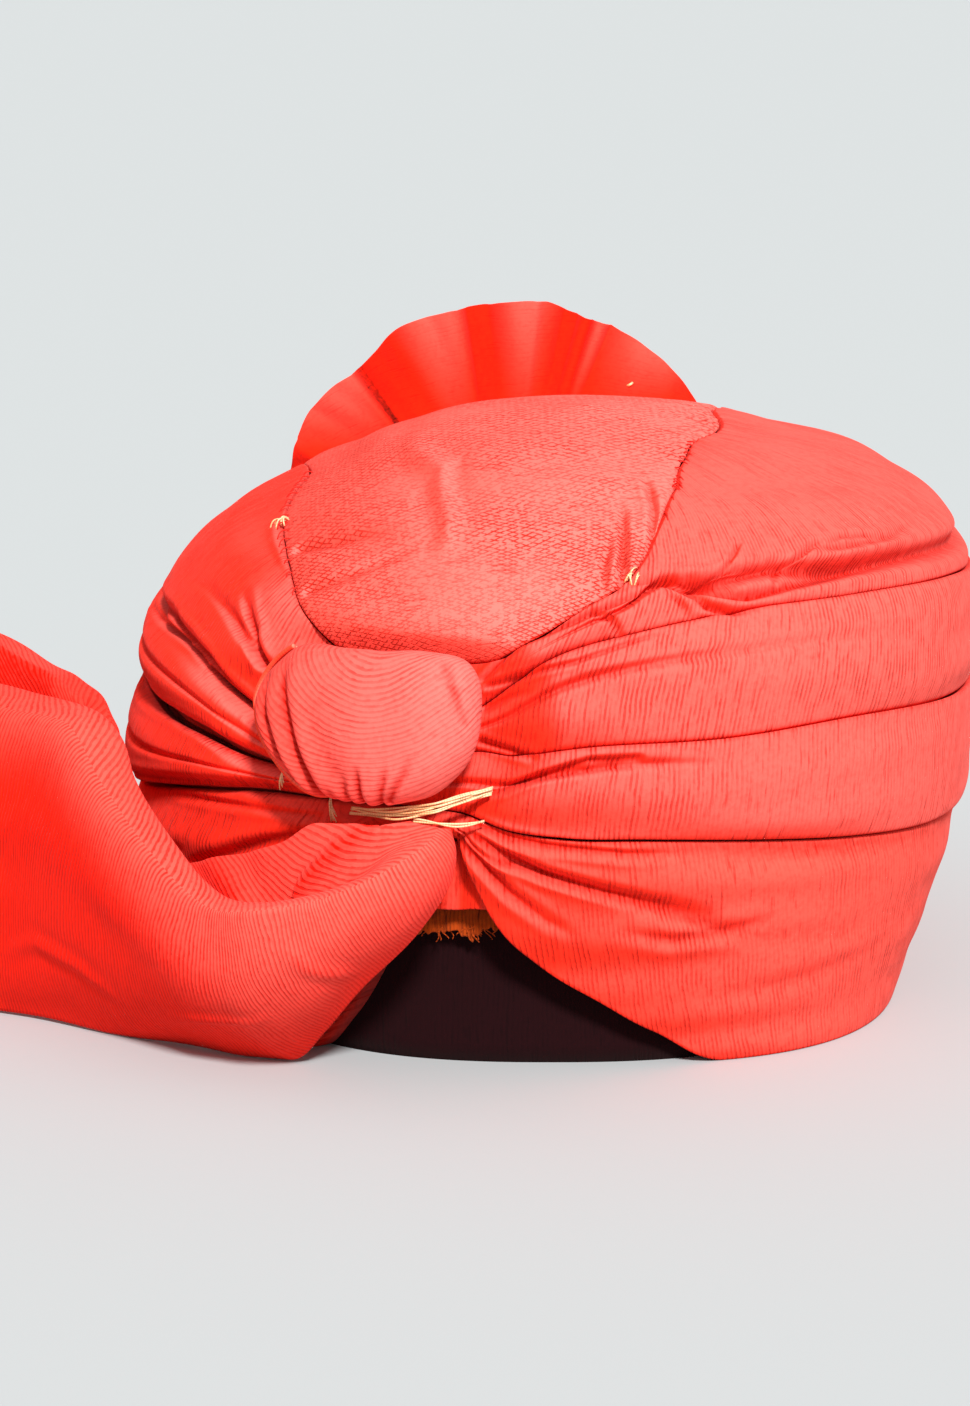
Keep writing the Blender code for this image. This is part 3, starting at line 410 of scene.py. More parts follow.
def drawn_in(a, c):
    """How far the wraps are pulled in under the knot, a round hollow in azimuth and climb."""
    r = ((np.degrees(a) - KNOT_AZIMUTH) / HOLLOW_AZIMUTH) ** 2 + ((c - KNOT_CLIMB) / HOLLOW_CLIMB) ** 2
    return HOLLOW_DEPTH * smooth_step(1.35 - r, 0, 1)


def spread(azimuth, climb, spot=(KNOT_AZIMUTH, KNOT_CLIMB)):
    """Way along and up the surface from a spot, in metres; azimuth in degrees."""
    azimuth, climb = np.broadcast_arrays(azimuth, climb)
    turn = (azimuth - spot[0] + 180) % 360 - 180
    return np.radians(turn) * HALF_WIDTH, (climb - spot[1]) * CLIMB_LENGTH


def fold_depth(x, y, lines):
    """Depth and shade of the folds at the points (x, y). A fold is a valley round a bent line: its
    depth falls off with the square of the distance over its width, and a low swell stands on
    either side of it."""
    depth, shade = np.zeros_like(x), np.zeros_like(x)
    for width, rows in lines:
        best, deep = np.full_like(x, 1e3), np.zeros_like(x)
        for (x0, y0, d0), (x1, y1, d1) in zip(rows[:-1], rows[1:]):
            run = (x1 - x0) ** 2 + (y1 - y0) ** 2
            t = np.clip(((x - x0) * (x1 - x0) + (y - y0) * (y1 - y0)) / run, 0, 1)
            off = np.hypot(x - x0 - t * (x1 - x0), y - y0 - t * (y1 - y0))
            nearer = off < best
            best, deep = np.where(nearer, off, best), np.where(nearer, d0 + t * (d1 - d0), deep)
        valley = np.exp(-(best / width) ** 2)
        swell = np.exp(-((best / width - 2.1) / 1.1) ** 2)
        depth += deep * (valley - 0.30 * swell)
        shade = np.maximum(shade, np.clip(deep / 0.0018, 0, 1) * np.exp(-(best / width / 0.75) ** 2))
    return depth, shade


def in_metres(table, placed):
    """A table of folds with its millimetres in metres and its points where placed puts them."""
    return [(width / 1000, [(*placed(u, v), d / 1000) for u, v, d in rows]) for width, rows in table]


folds = in_metres(FOLDS, spread)
ripple_draw = np.random.default_rng(11)
RIPPLES = [(int(ripple_draw.integers(-5, 6)), 2 * math.pi / ripple_draw.uniform(0.011, 0.034),
            ripple_draw.uniform(0, 2 * math.pi)) for _ in range(12)]
GATHERS = [(count, ripple_draw.uniform(0, 2 * math.pi)) for count in (7, 11, 17, 23, 31)]


def wrap_relief(a, c):
    """Height of the cloth over the smooth wrap, and its crease shade: the folds, long shallow
    ripples along the wrap, and gathers that run out from the tie and die away."""
    azimuth = np.degrees(a)
    x, y = spread(azimuth, c)
    depth, shade = fold_depth(x, y, folds)
    height = -depth
    for turns, pull, start in RIPPLES:
        height = height + 0.00009 * np.sin(turns * a + pull * c * CLIMB_LENGTH + start)
    x, y = spread(azimuth, c, tie_spot)
    out, angle = np.hypot(x, y), np.arctan2(y, x)
    near = 0.00028 * np.exp(-np.clip(out - 0.012, 0, None) / 0.020) * smooth_step(out, 0.006, 0.014)
    for turns, start in GATHERS:
        height = height + near * np.sin(turns * angle + start) * 7 / (turns + 5)
    return height, shade


SLACK = np.array([
    # azimuth, share of the full roundness that the wraps keep where they are pulled flat
    (-180, 0.60), (-100, 0.75), (-60, 0.95), (-38, 0.95), (-14, 0.60), (0, 0.42), (15, 0.32),
    (60, 0.30), (110, 0.45), (180, 0.60)])


def edge_roll(t):
    """How strongly a wrap turns down near its edge: a square that falls from 1 to 0 at 0.38."""
    return np.clip(1 - t / 0.38, 0, 1) ** 2


def weave_lines(a, c, tilt):
    """The ribs stand square to the cloth's length, so they are upright, or lean by tilt, and only
    close to the knot they are arcs about it."""
    x, y = spread(np.degrees(a), c)
    return np.stack([np.hypot(x, 0.8 * y * np.exp(-abs(x) / 0.03)) + tilt * y, c * CLIMB_LENGTH], -1)


# Shares of the way out at which a wrap's tucked edges have points
STEPS = np.array([0.86, 0.6, 0.3])


def seam_puckers(a, off):
    """Small gathers beside the crown's seam, sines round it that die away with the distance off
    and are strongest at the right."""
    height = np.sin(53 * a + 1.0) + 0.7 * np.sin(91 * a + 2.0) + 0.5 * np.sin(31 * a)
    return np.exp(-off / 0.0045) * (0.2 + 0.8 * smooth_step(a, -0.5, 0.1)) * height


def wind(name, node, low, high, fold, puff, finish, rows=72, top_roll=1.0, top_shade=1.0, puckers=0.0,
         tilt=0.0, pale=(0, 0, 1, 1, 0)):
    """One wound length of cloth: a closed ring of sections from the cap to the surface. A section
    goes up the outside between its two creases, in along the upper one, down the cap and out. Its
    top edge keeps a share of its roll and of the painted shade along it, and has puckers of that
    height. It gets a painted highlight round one place: azimuth, climb, their spreads and how strong."""
    gap = 0.0002 / (CROWN_HEIGHT * 1.3)
    a = ROUND[:, None]
    c0, e0, s0 = (round_flow(a, low, k) for k in (1, 3, 4))
    c1, e1, s1 = (round_flow(a, high, k) for k in (1, 2, 4))
    c0, c1 = np.maximum(c0, 0) + (gap if low is not HEM else 0), c1 - gap
    slack = round_flow(a, SLACK, 1)
    e0, e1, puff = 1 - (1 - e0) * slack, 1 - (1 - e1) * slack * top_roll, puff * slack
    share = np.linspace(0, 1, rows)
    t = (0.45 * share + 0.55 * (1 - np.cos(math.pi * share)) / 2)[None, :]
    f, deep = np.clip(round_flow(a, fold, 1), 0.14, 0.86), np.maximum(round_flow(a, fold, 2), 0)
    c = c0 + (c1 - c0) * t
    w = 1 + puff * np.sin(math.pi * t) ** 2 - (1 - e0) * edge_roll(t) - (1 - e1) * edge_roll(1 - t)
    w = w - deep * np.exp(-((t - f) / 0.05) ** 2) - drawn_in(a, c)
    tall = (c1 - c0) * CLIMB_LENGTH
    height, shade = wrap_relief(a, c)
    # Painted shade along both edges of the wrap and down its fold
    for off, roll, tint in ((t * tall, 1.0, 0.9), ((1 - t) * tall, top_roll, 0.9 * top_shade)):
        bent = np.clip(1 - off / np.minimum(EDGE_ROUND, 0.3 * tall), 0, 1)
        height = height - EDGE_ROUND * 0.8 * roll * (0.12 + 0.88 * slack) * (1 - np.sqrt(1 - bent ** 2))
        shade = np.maximum(shade, tint * (0.25 + 0.75 * slack) * np.exp(-(off / 0.0007) ** 2))
    shade = np.maximum(shade, np.clip(deep * 6, 0, 1) * np.exp(-((t - f) / 0.035) ** 2))
    height = height + puckers * seam_puckers(a, (1 - t) * tall)
    outer = wound(a, c, w) + facing(a, c) * height[..., None]
    w_low, w_high = w[:, :1], w[:, -1:]
    up = wound(a, c1 + s1 * (1 - STEPS * w_high), STEPS * w_high)
    down = wound(a, c0 + s0 * (1 - STEPS[::-1] * w_low), STEPS[::-1] * w_low)
    inner_share = np.linspace(0, 1, 8)
    inner_c = (c1 + s1) + (c0 + s0 - c1 - s1) * inner_share
    inner = wound(a, inner_c, np.zeros_like(inner_c))
    if low is HEM:
        on_floor = (c0[:, 0] < 1e-6)
        inner[on_floor, -1, 2] = 0
        down[on_floor, :, 2] = 0
        outer[on_floor, 0, 2] = 0
    section = np.concatenate([outer, up, inner, down[:, ::-1]], 1)
    section[..., 2] = np.maximum(section[..., 2], 0)
    columns = section.shape[1]
    # Faces tucked out of sight get full painted shade
    section_shade = np.ones((len(ROUND), columns))
    section_shade[:, :rows] = shade
    c_all = np.concatenate([c, np.repeat(c1, 3, 1), inner_c, np.repeat(c0, 3, 1)], 1)
    weave = weave_lines(np.broadcast_to(a, c_all.shape), c_all, tilt)
    weave[:, rows:, 1] += 0.01
    light_share = pale[4] * np.exp(-((np.degrees(a) - pale[0]) / pale[2]) ** 2
                              - ((c_all - pale[1]) / pale[3]) ** 2)
    made = lay_cloth(name, section, grid_quads(len(ROUND), columns, True, True), weave, section_shade, finish,
                     extra_light=light_share.ravel())
    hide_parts(node)
    return made, float(tall.mean())


flap_cotton = cotton("flap_cotton", (0.93, 0.080, 0.056), RED, DEEP_RED, ribs=0.65, streaks=0.5)
lowest_wrap, lowest_tall = wind("lowest_wrap", "wrap_4", HEM, LOWER_CREASE, FLAP_FOLD, 0.02, flap_cotton,
                                rows=130, tilt=0.22)

# Three wraps above it
# Lengths of the same cloth wound one over the other, each tucked under the roll of the next. All
# are drawn together under the knot and spread out again to both sides.
MIDDLE_CREASE = np.array([
    # azimuth, climb, depth of the edges below and above, slant inwards; the next two tables too
    (-180, 0.460, 0.95, 0.84, -0.03), (-130, 0.450, 0.95, 0.84, -0.03), (-100, 0.445, 0.96, 0.82, -0.03),
    (-76, 0.445, 0.97, 0.80, -0.03), (-53, 0.442, 0.97, 0.80, -0.01), (-43, 0.430, 0.94, 0.82, 0.00),
    (-33, 0.426, 0.90, 0.84, 0.00), (-22, 0.445, 0.88, 0.86, 0.00), (-11, 0.475, 0.92, 0.86, 0.00),
    (-6, 0.468, 0.95, 0.84, 0.00), (4, 0.478, 0.96, 0.82, -0.02), (19, 0.482, 0.97, 0.82, -0.03),
    (37, 0.490, 0.97, 0.82, -0.03), (66, 0.470, 0.96, 0.84, -0.03), (100, 0.460, 0.95, 0.84, -0.03),
    (140, 0.460, 0.95, 0.84, -0.03), (180, 0.460, 0.95, 0.84, -0.03)])
UPPER_CREASE = np.array([
    (-180, 0.620, 0.84, 0.95, 0.04), (-140, 0.600, 0.82, 0.96, 0.04), (-110, 0.585, 0.80, 0.97, 0.04),
    (-82, 0.565, 0.78, 0.98, 0.04), (-57, 0.545, 0.78, 0.98, 0.03), (-45, 0.500, 0.80, 0.96, 0.01),
    (-39, 0.472, 0.82, 0.92, 0.00), (-26, 0.495, 0.85, 0.85, 0.00), (-12, 0.532, 0.90, 0.86, 0.00),
    (-3, 0.600, 0.94, 0.84, 0.00), (7, 0.635, 0.95, 0.84, -0.02), (21, 0.660, 0.96, 0.84, -0.03),
    (39, 0.667, 0.96, 0.84, -0.03), (59, 0.655, 0.96, 0.86, -0.03), (82, 0.630, 0.95, 0.88, -0.02),
    (110, 0.620, 0.92, 0.92, 0.00), (145, 0.620, 0.88, 0.94, 0.02), (180, 0.620, 0.84, 0.95, 0.04)])
CROWN_CREASE = np.array([
    (-180, 0.857, 0.78, 0.80, 0.00), (-165, 0.852, 0.78, 0.80, 0.00), (-150, 0.828, 0.78, 0.80, 0.00),
    (-140, 0.790, 0.78, 0.78, 0.00), (-131, 0.712, 0.78, 0.78, 0.00), (-120, 0.728, 0.84, 0.86, 0.00),
    (-105, 0.765, 0.90, 0.90, 0.00), (-91, 0.780, 0.90, 0.92, 0.00), (-78, 0.765, 0.90, 0.92, 0.00),
    (-64, 0.735, 0.90, 0.92, 0.00), (-50, 0.690, 0.90, 0.92, 0.00), (-39, 0.625, 0.90, 0.93, 0.00),
    (-34, 0.600, 0.88, 0.95, 0.00), (-26, 0.590, 0.85, 0.97, 0.00), (-12, 0.592, 0.86, 0.94, 0.00),
    (-7, 0.622, 0.93, 0.88, 0.00), (-2, 0.665, 0.93, 0.88, 0.00), (4, 0.712, 0.93, 0.88, 0.00),
    (8, 0.780, 0.93, 0.88, 0.00), (19, 0.855, 0.93, 0.90, 0.00), (35, 0.898, 0.92, 0.92, 0.00),
    (60, 0.915, 0.92, 0.92, 0.00), (90, 0.915, 0.92, 0.92, 0.00), (119, 0.905, 0.88, 0.90, 0.00),
    (135, 0.872, 0.82, 0.84, 0.00), (150, 0.840, 0.78, 0.80, 0.00), (165, 0.852, 0.78, 0.80, 0.00),
    (180, 0.857, 0.78, 0.80, 0.00)])
SHORT_FOLD = np.array([
    # azimuth, share of the wrap's height, depth; the next two tables too
    (-180, 0.50, 0.00), (-90, 0.50, 0.03), (-55, 0.45, 0.06), (-40, 0.50, 0.04), (-12, 0.50, 0.06),
    (-3, 0.70, 0.12), (4, 0.78, 0.12), (10, 0.80, 0.06), (24, 0.75, 0.00), (120, 0.50, 0.00),
    (180, 0.50, 0.00)])
SOFT_FOLD = np.array([
    (-180, 0.45, 0.03), (-100, 0.50, 0.05), (-60, 0.50, 0.07), (-42, 0.50, 0.03), (-12, 0.50, 0.05),
    (0, 0.62, 0.08), (20, 0.66, 0.04), (50, 0.60, 0.00), (120, 0.50, 0.02), (180, 0.45, 0.03)])
ROLL_FOLD = np.array([
    (-180, 0.30, 0.00), (-80, 0.30, 0.00), (-60, 0.42, 0.04), (-45, 0.45, 0.10), (-36, 0.45, 0.03),
    (-12, 0.50, 0.00), (-2, 0.50, 0.03), (6, 0.50, 0.10), (13, 0.24, 0.14), (26, 0.22, 0.15),
    (41, 0.16, 0.14), (65, 0.16, 0.12), (86, 0.16, 0.08), (110, 0.20, 0.04), (180, 0.30, 0.00)])
band_cotton = cotton("band_cotton", CORAL, RED, DEEP_RED, ribs=0.75, streaks=0.5)
third_wrap, third_tall = wind("third_wrap", "wrap_3", LOWER_CREASE, MIDDLE_CREASE, SHORT_FOLD, 0.06,
                              band_cotton)
# The pale spots given to the second and top wraps are painted highlights
second_wrap, second_tall = wind("second_wrap", "wrap_2", MIDDLE_CREASE, UPPER_CREASE, SOFT_FOLD, 0.06,
                                band_cotton, pale=(-48, 0.515, 9, 0.025, 0.4))
top_wrap, top_tall = wind("top_wrap", "wrap_1", UPPER_CREASE, CROWN_CREASE, ROLL_FOLD, 0.04, band_cotton,
                          rows=110, top_roll=0.22, top_shade=0.30, puckers=0.00020,
                          pale=(-41, 0.64, 9, 0.06, 0.7))

# Crown panel
# A width of closely woven cotton stretched over the top, from under the knot back to the fan. Its
# sides are tacked down along the upper wrap.
CROWN_RINGS = 96
CROWN_CLOTH = 0.86
edge_c = round_flow(ROUND, CROWN_CREASE, 1) + 0.001
edge_w = 1 - (1 - round_flow(ROUND, CROWN_CREASE, 3)) * 0.28


def crown_hollow(a, c):
    """The crown is pulled in only where its lower edge passes under the knot."""
    return drawn_in(a, c) * (1 - smooth_step(c, 0.585, 0.625))


CROWN_FOLDS = [
    # width in millimetres, then azimuth, climb and depth in millimetres
    (1.5, [(2.8, 0.705, 1.4), (1.9, 0.74, 1.8), (1.5, 0.78, 1.3), (2, 0.83, 0.0)]),
    (1.3, [(0.2, 0.690, 0.6), (-0.6, 0.73, 1.2), (-0.4, 0.77, 0.6), (0, 0.80, 0.0)]),
    (1.6, [(6.4, 0.75, 0.5), (7.2, 0.79, 1.4), (9, 0.83, 1.2), (12, 0.87, 0.0)]),
    (2.2, [(-95, 0.905, 0.0), (-44, 0.860, -0.9), (-30, 0.785, -0.8), (-25, 0.730, 0.0)]),
    (1.6, [(-52, 0.715, 1.2), (-46, 0.735, 1.0), (-38, 0.760, 0.0)]),
    (1.8, [(-42, 0.665, 1.0), (-37, 0.700, 0.8), (-31, 0.740, 0.0)]),
]
crown_folds = in_metres(CROWN_FOLDS, spread)
share = np.linspace(0, 0.99, CROWN_RINGS)[:, None] ** 1.15
c = edge_c + (1 - edge_c) * share
w = 1 - (1 - edge_w) * edge_roll(share * 3) - crown_hollow(ROUND, c)
depth, shade = fold_depth(*spread(np.degrees(np.broadcast_to(ROUND, c.shape)), c), crown_folds)
calm = smooth_step(1 - c, 0.02, 0.15)
height = -depth * calm
for turns, pull, start in RIPPLES[:6]:
    height = height + 0.00012 * calm * np.sin(turns * ROUND + pull * c * CLIMB_LENGTH + start)
off = share * (1 - edge_c) * CLIMB_LENGTH
height = height + 0.00020 * seam_puckers(ROUND, off)
bent = np.clip(1 - off / EDGE_ROUND, 0, 1)
height = height - EDGE_ROUND * 0.25 * (1 - np.sqrt(1 - bent ** 2))
pull = smooth_step(np.degrees(ROUND), -34, -12) * (1 - smooth_step(np.degrees(ROUND), 4, 10))
# Painted shade along the crown's seam, strongest where the crown is pulled under the knot
shade = np.maximum(shade * 0.8, np.exp(-(off / 0.0008) ** 2) * (0.15 + 0.5 * pull))
outer = wound(ROUND, c, w) + facing(ROUND, c) * height[..., None]
lip = wound(ROUND, edge_c, edge_w - crown_hollow(ROUND, edge_c) - 0.10)
under_share = np.linspace(0.0, 0.97, 24)[::-1, None]
under_c = edge_c + (1 - edge_c) * under_share
under = wound(ROUND, under_c, CROWN_CLOTH * edge_w - crown_hollow(ROUND, under_c))
rings = np.concatenate([under, lip[None], outer])
points = np.vstack([rings.reshape(-1, 3), wound(0.0, 1.0, CROWN_CLOTH)[None], wound(0.0, 1.0, 1.0)[None]])
all_c = np.concatenate([under_c, edge_c[None], c])
far = (1 - all_c) * CLIMB_LENGTH * 1.05
weave = np.stack([-far * np.cos(ROUND), far * np.sin(ROUND)], -1).reshape(-1, 2)
weave = np.vstack([weave, [[0, 0], [0, 0]]])
# The tucked-under part and the lip get full painted shade
shades = np.r_[np.ones(under_c.size), np.ones(len(ROUND)), shade.ravel(), 0, 0]
crown_cotton = cotton("crown_cotton", (0.93, 0.162, 0.132), (0.93, 0.070, 0.048), (0.60, 0.016, 0.006),
                      ribs=0.10, streaks=0.50, diamonds=0.80)
crown_cloth = lay_cloth("crown_cloth", points, close_dome(len(rings), count), weave, shades, crown_cotton)
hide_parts("crown_panel")

# Knot
# A loop of the same cloth pulled tight over the drawn-in wraps and puffed out. It is gathered
# below into the tie, and a narrow doubled welt runs down its left side.
KNOT_WIDTH, KNOT_RISE = 0.059, 0.017
KNOT_SIDES, KNOT_RINGS = 320, 90
KNOT_REACH = np.array([
    # direction in the knot's plane in degrees, reach as a share of half its width
    (-180, 0.94), (-148, 0.70), (-120, 0.60), (-95, 0.54), (-70, 0.58), (-48, 0.70), (-29, 0.88),
    (-4, 1.04), (17, 1.06), (29, 1.00), (50, 0.74), (90, 0.54), (120, 0.62), (147, 0.88),
    (172, 0.98), (180, 0.94)])
KNOT_SECTION = np.array([
    # share of the reach and height as a share of the rise, from the back to the front
    (0.00, -0.23), (0.50, -0.22), (0.84, -0.16), (0.97, 0.06), (1.00, 0.30), (0.93, 0.62),
    (0.76, 0.86), (0.45, 0.98), (0.00, 1.00)])
KNOT_FOLDS = [
    # width in millimetres, then across, up and depth in millimetres
    (1.4, [(-18, 10, 0.5), (-16.5, 6, 2.2), (-12, -3, 3.0), (-5, -15, 2.4)]),
    (1.1, [(-23, 7, 0.8), (-21, 1, 1.8), (-15, -9, 2.0), (-9, -16, 1.4)]),
    (2.2, [(-10, 8, 0.0), (-6, 0, 0.4), (-1, -7, 0.6), (3, -13, 0.3)]),
    (0.9, [(4.5, -6, 0.0), (5, -10, 1.5), (5.5, -17, 2.2)]),
    (0.8, [(1, -9, 0.0), (1.5, -13, 1.2), (2, -18, 1.6)]),
    (0.9, [(11.5, -6, 0.0), (11, -10, 1.4), (9.5, -16, 2.2)]),
    (0.9, [(17, -3, 0.0), (15.5, -8, 1.2), (12, -14, 1.8)]),
    (0.8, [(-3, -11, 0.0), (-2, -14, 0.9), (-1, -18, 1.2)]),
    (1.1, [(21, 13, 0.8), (25, 8, 1.2), (28, 3, 0.6)]),
]


def flat_spot(across, up):
    """Place of a fold's point on flat cloth, from millimetres."""
    return across / 1000, up / 1000


def knot_point(turn, share, height, lift=0.0):
    """Point of the knot from a direction and a share of its reach, over the wound surface."""
    reach = KNOT_WIDTH / 2 * round_flow(turn, KNOT_REACH, 1) * share
    across, up = reach * np.cos(turn), reach * np.sin(turn)
    radius = np.linalg.norm(body(math.radians(KNOT_AZIMUTH), KNOT_CLIMB)[:2])
    a, c = math.radians(KNOT_AZIMUTH) + across / radius, KNOT_CLIMB + up / CLIMB_LENGTH
    return body(a, c) + facing(a, c) * np.asarray(KNOT_RISE * height + lift)[..., None], across, up


turn = np.linspace(-math.pi, math.pi, KNOT_SIDES, endpoint=False)
at = np.linspace(0.35, len(KNOT_SECTION) - 1.06, KNOT_RINGS)
order = np.arange(len(KNOT_SECTION))
share, height = (np.broadcast_to(flow(at, order, KNOT_SECTION[:, k])[:, None], (KNOT_RINGS, KNOT_SIDES))
                 for k in (0, 1))
side = np.broadcast_to(turn, share.shape)
_, across, up = knot_point(side, share, height)
knot_folds = in_metres(KNOT_FOLDS, flat_spot)
depth, shade = fold_depth(across, up, knot_folds)
puff = (0.00025 * np.sin(across * 420 + up * 160) + 0.0002 * np.sin(across * 190 - up * 330 + 1.0)
        - depth) * smooth_step(height, 0.0, 0.5)
places, _, _ = knot_point(side, share * (1 - 9 * np.clip(depth, 0, 0.003) * smooth_step(-height, -0.7, 0.3)),
                          height, puff)
ends = np.array([knot_point(0.0, 0.0, -0.23)[0], knot_point(0.0, 0.0, 1.0)[0]])
points = np.vstack([places.reshape(-1, 3), ends])
weave = np.stack([np.hypot(across - 0.004, up - 0.030), across], -1).reshape(-1, 2)
weave = np.vstack([weave, weave[:1], [[0.03, 0.0]]])
# Painted shade where the knot's lower side meets the wraps, and over its left side
shade = np.maximum(shade, smooth_step(-height, -0.45, 0.10))
shade = np.maximum(shade, 0.30 * smooth_step(-across, 0.008, 0.024))
knot_cotton = cotton("knot_cotton", (0.94, 0.176, 0.150), (0.93, 0.034, 0.016), DEEP_RED, pitch=0.00100,
                     ribs=0.62, patchy=0.60, streaks=0.2, relief=0.00035)
# The knot's colour is lighter towards its upper right: painted light
knot_cloth = lay_cloth("knot_cloth", points, close_dome(KNOT_RINGS, KNOT_SIDES), weave,
                       np.r_[shade.ravel(), 1, 0], knot_cotton,
                       light_given=np.r_[(0.52 + 8 * across + 4 * up).ravel(), 0.4, 0.6])
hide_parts("knot")


def thread(points, radius, sides=8):
    """Points and faces of a round thread: circles of the radius square to the path, with a closed
    end. The circles keep level with the world's up, so the thread doesn't twist."""
    points = np.asarray(points, float)
    radius = np.broadcast_to(np.asarray(radius, float), len(points))
    way = np.gradient(points, axis=0)
    way /= np.linalg.norm(way, axis=1, keepdims=True)
    aside = np.cross(way, [0.12, -0.35, 1.0])
    aside /= np.linalg.norm(aside, axis=1, keepdims=True)
    over = np.cross(aside, way)
    turn = 2 * math.pi * np.arange(sides) / sides
    rings = points[:, None] + radius[:, None, None] * (
        np.cos(turn)[None, :, None] * aside[:, None] + np.sin(turn)[None, :, None] * over[:, None])
    return np.vstack([rings.reshape(-1, 3), points[:1], points[-1:]]), close_dome(len(points), sides)


def lay_threads(name, strands, finish, sides=8):
    """Many threads as one piece, each a path and its radius."""
    points, faces, weave, base = [], [], [], 0
    for path, radius in strands:
        made, quads = thread(path, radius, sides)
        run = np.r_[0, np.cumsum(np.linalg.norm(np.diff(path, axis=0), axis=1))]
        around = np.tile(np.arange(sides) * 0.0002, len(run))
        weave.append(np.vstack([np.stack([np.repeat(run, sides), around], -1), [[0, 0], [0, 0]]]))
        faces += [np.asarray(f) + base for f in quads]
        points.append(made)
        base += len(made)
    return lay_cloth(name, np.vstack(points), faces, np.vstack(weave), np.zeros(base), finish)


WELT = [
    # direction in degrees, share of the reach, height as a share of the rise
    (146, 0.97, 0.58), (154, 1.00, 0.52), (163, 1.02, 0.47), (172, 1.03, 0.45), (181, 1.03, 0.44),
    (196, 1.03, 0.44), (212, 1.04, 0.44), (226, 1.04, 0.40), (240, 1.02, 0.34), (252, 0.98, 0.26)]


def along_rows(table, steps):
    """Columns of a table, read smoothly at steps from 0, its first row, to 1, its last."""
    return [flow(steps, np.linspace(0, 1, len(table)), column) for column in np.transpose(table)]


welt_turn, welt_share, welt_height = along_rows(WELT, np.linspace(0, 1, 90))
welt_turn = np.radians((welt_turn + 180) % 360 - 180)
welt = [(knot_point(welt_turn, welt_share, welt_height, lift)[0], radius)
        for lift, radius in ((0.0, 0.00060), (-0.0014, 0.00050))]
welt_cotton = cotton("welt_cotton", (0.93, 0.200, 0.130), (0.92, 0.060, 0.025), (0.60, 0.012, 0.004),
                     pitch=0.0009, ribs=0.5, streaks=0.1, relief=0.0002)
knot_welt = lay_threads("knot_welt", welt, welt_cotton, sides=10)

# Gold tie
# A few turns of flat gold thread that bind the gathers under the knot, over the start of the tail,
# with loose ends of the same thread caught at the left.
TIE = np.array([
    # azimuth, climb, height over the surface
    (-25.5, 0.387, 0.0008), (-22.0, 0.391, 0.0034), (-18.5, 0.397, 0.0062), (-15.0, 0.405, 0.0064),
    (-12.0, 0.413, 0.0038), (-8.5, 0.419, -0.0004)])
STRANDS = 7
STRAND_RADIUS = 0.00027
GOLD, GOLD_DEEP = (0.80, 0.42, 0.17), (0.50, 0.13, 0.03)


def over_body(azimuth, climb, height):
    """Point at a height over the smooth outer surface; azimuth in degrees."""
    a = np.radians(azimuth)
    return body(a, climb) + facing(a, climb) * np.asarray(height)[..., None]


gold_thread = cotton("gold_thread", (0.92, 0.60, 0.34), GOLD, GOLD_DEEP, pitch=0.0007, ribs=0.8, streaks=0.2,
                     relief=0.00015)
gold_thread.node_tree.nodes["Principled BSDF"].inputs["Roughness"].default_value = 0.45
gold_thread.node_tree.nodes["Principled BSDF"].inputs["Specular IOR Level"].default_value = 0.6
tie_draw = np.random.default_rng(5)
step = np.linspace(0, 1, 60)
strands = []
for k in range(STRANDS):
    rise, slant = (k - STRANDS / 2) * 0.0021, tie_draw.uniform(-0.008, 0.008)
    start = tie_draw.uniform(0, 6.28)
    azimuth, climb, height = along_rows(TIE, step)
    climb = climb + rise * (0.45 + 0.55 * np.sin(math.pi * step)) + slant * (step - 0.5)
    height = height + 0.0012 * np.sin(7 * step + start) ** 2 - 0.0004
    strands.append((over_body(azimuth, climb, height), STRAND_RADIUS * tie_draw.uniform(0.8, 1.2)))
LOW_STRAND = np.array([
    # azimuth, climb, height over the surface
    (-17.0, 0.386, 0.0060), (-14.0, 0.386, 0.0062), (-11.5, 0.383, 0.0040), (-9.0, 0.380, 0.0004)])
for rise in (0.0, 0.0035):
    azimuth, climb, height = along_rows(LOW_STRAND, step)
    strands.append((over_body(azimuth, climb + rise * np.cos(5 * step), height), STRAND_RADIUS))
gold_tie = lay_threads("gold_tie", strands, gold_thread)
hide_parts("tie_thread")

# Tacks and loose thread ends
# A few stitches through the crown's edge hold it to the upper wrap. Two are thick tacks of gold and
# red thread, and the rest are short dark red stitches; cut ends of gold thread hang left of the tie.
TACKS = [
    # azimuth, climb, count of stitches, length
    (4.0, 0.712, 6, 0.0042), (-64.0, 0.735, 5, 0.0038)]
tack_draw = np.random.default_rng(8)
run = np.linspace(0, 1, 12)


def stitch(azimuth, climb, slant, long, proud):
    """Path of one stitch: it comes out of the cloth, lies over it and goes back in."""
    away = long * (run - 0.5)
    across = np.degrees(away * math.cos(slant) / HALF_WIDTH)
    return over_body(azimuth + across, climb + away * math.sin(slant) / CLIMB_LENGTH,
                     proud * np.sin(math.pi * run) - 0.0006)


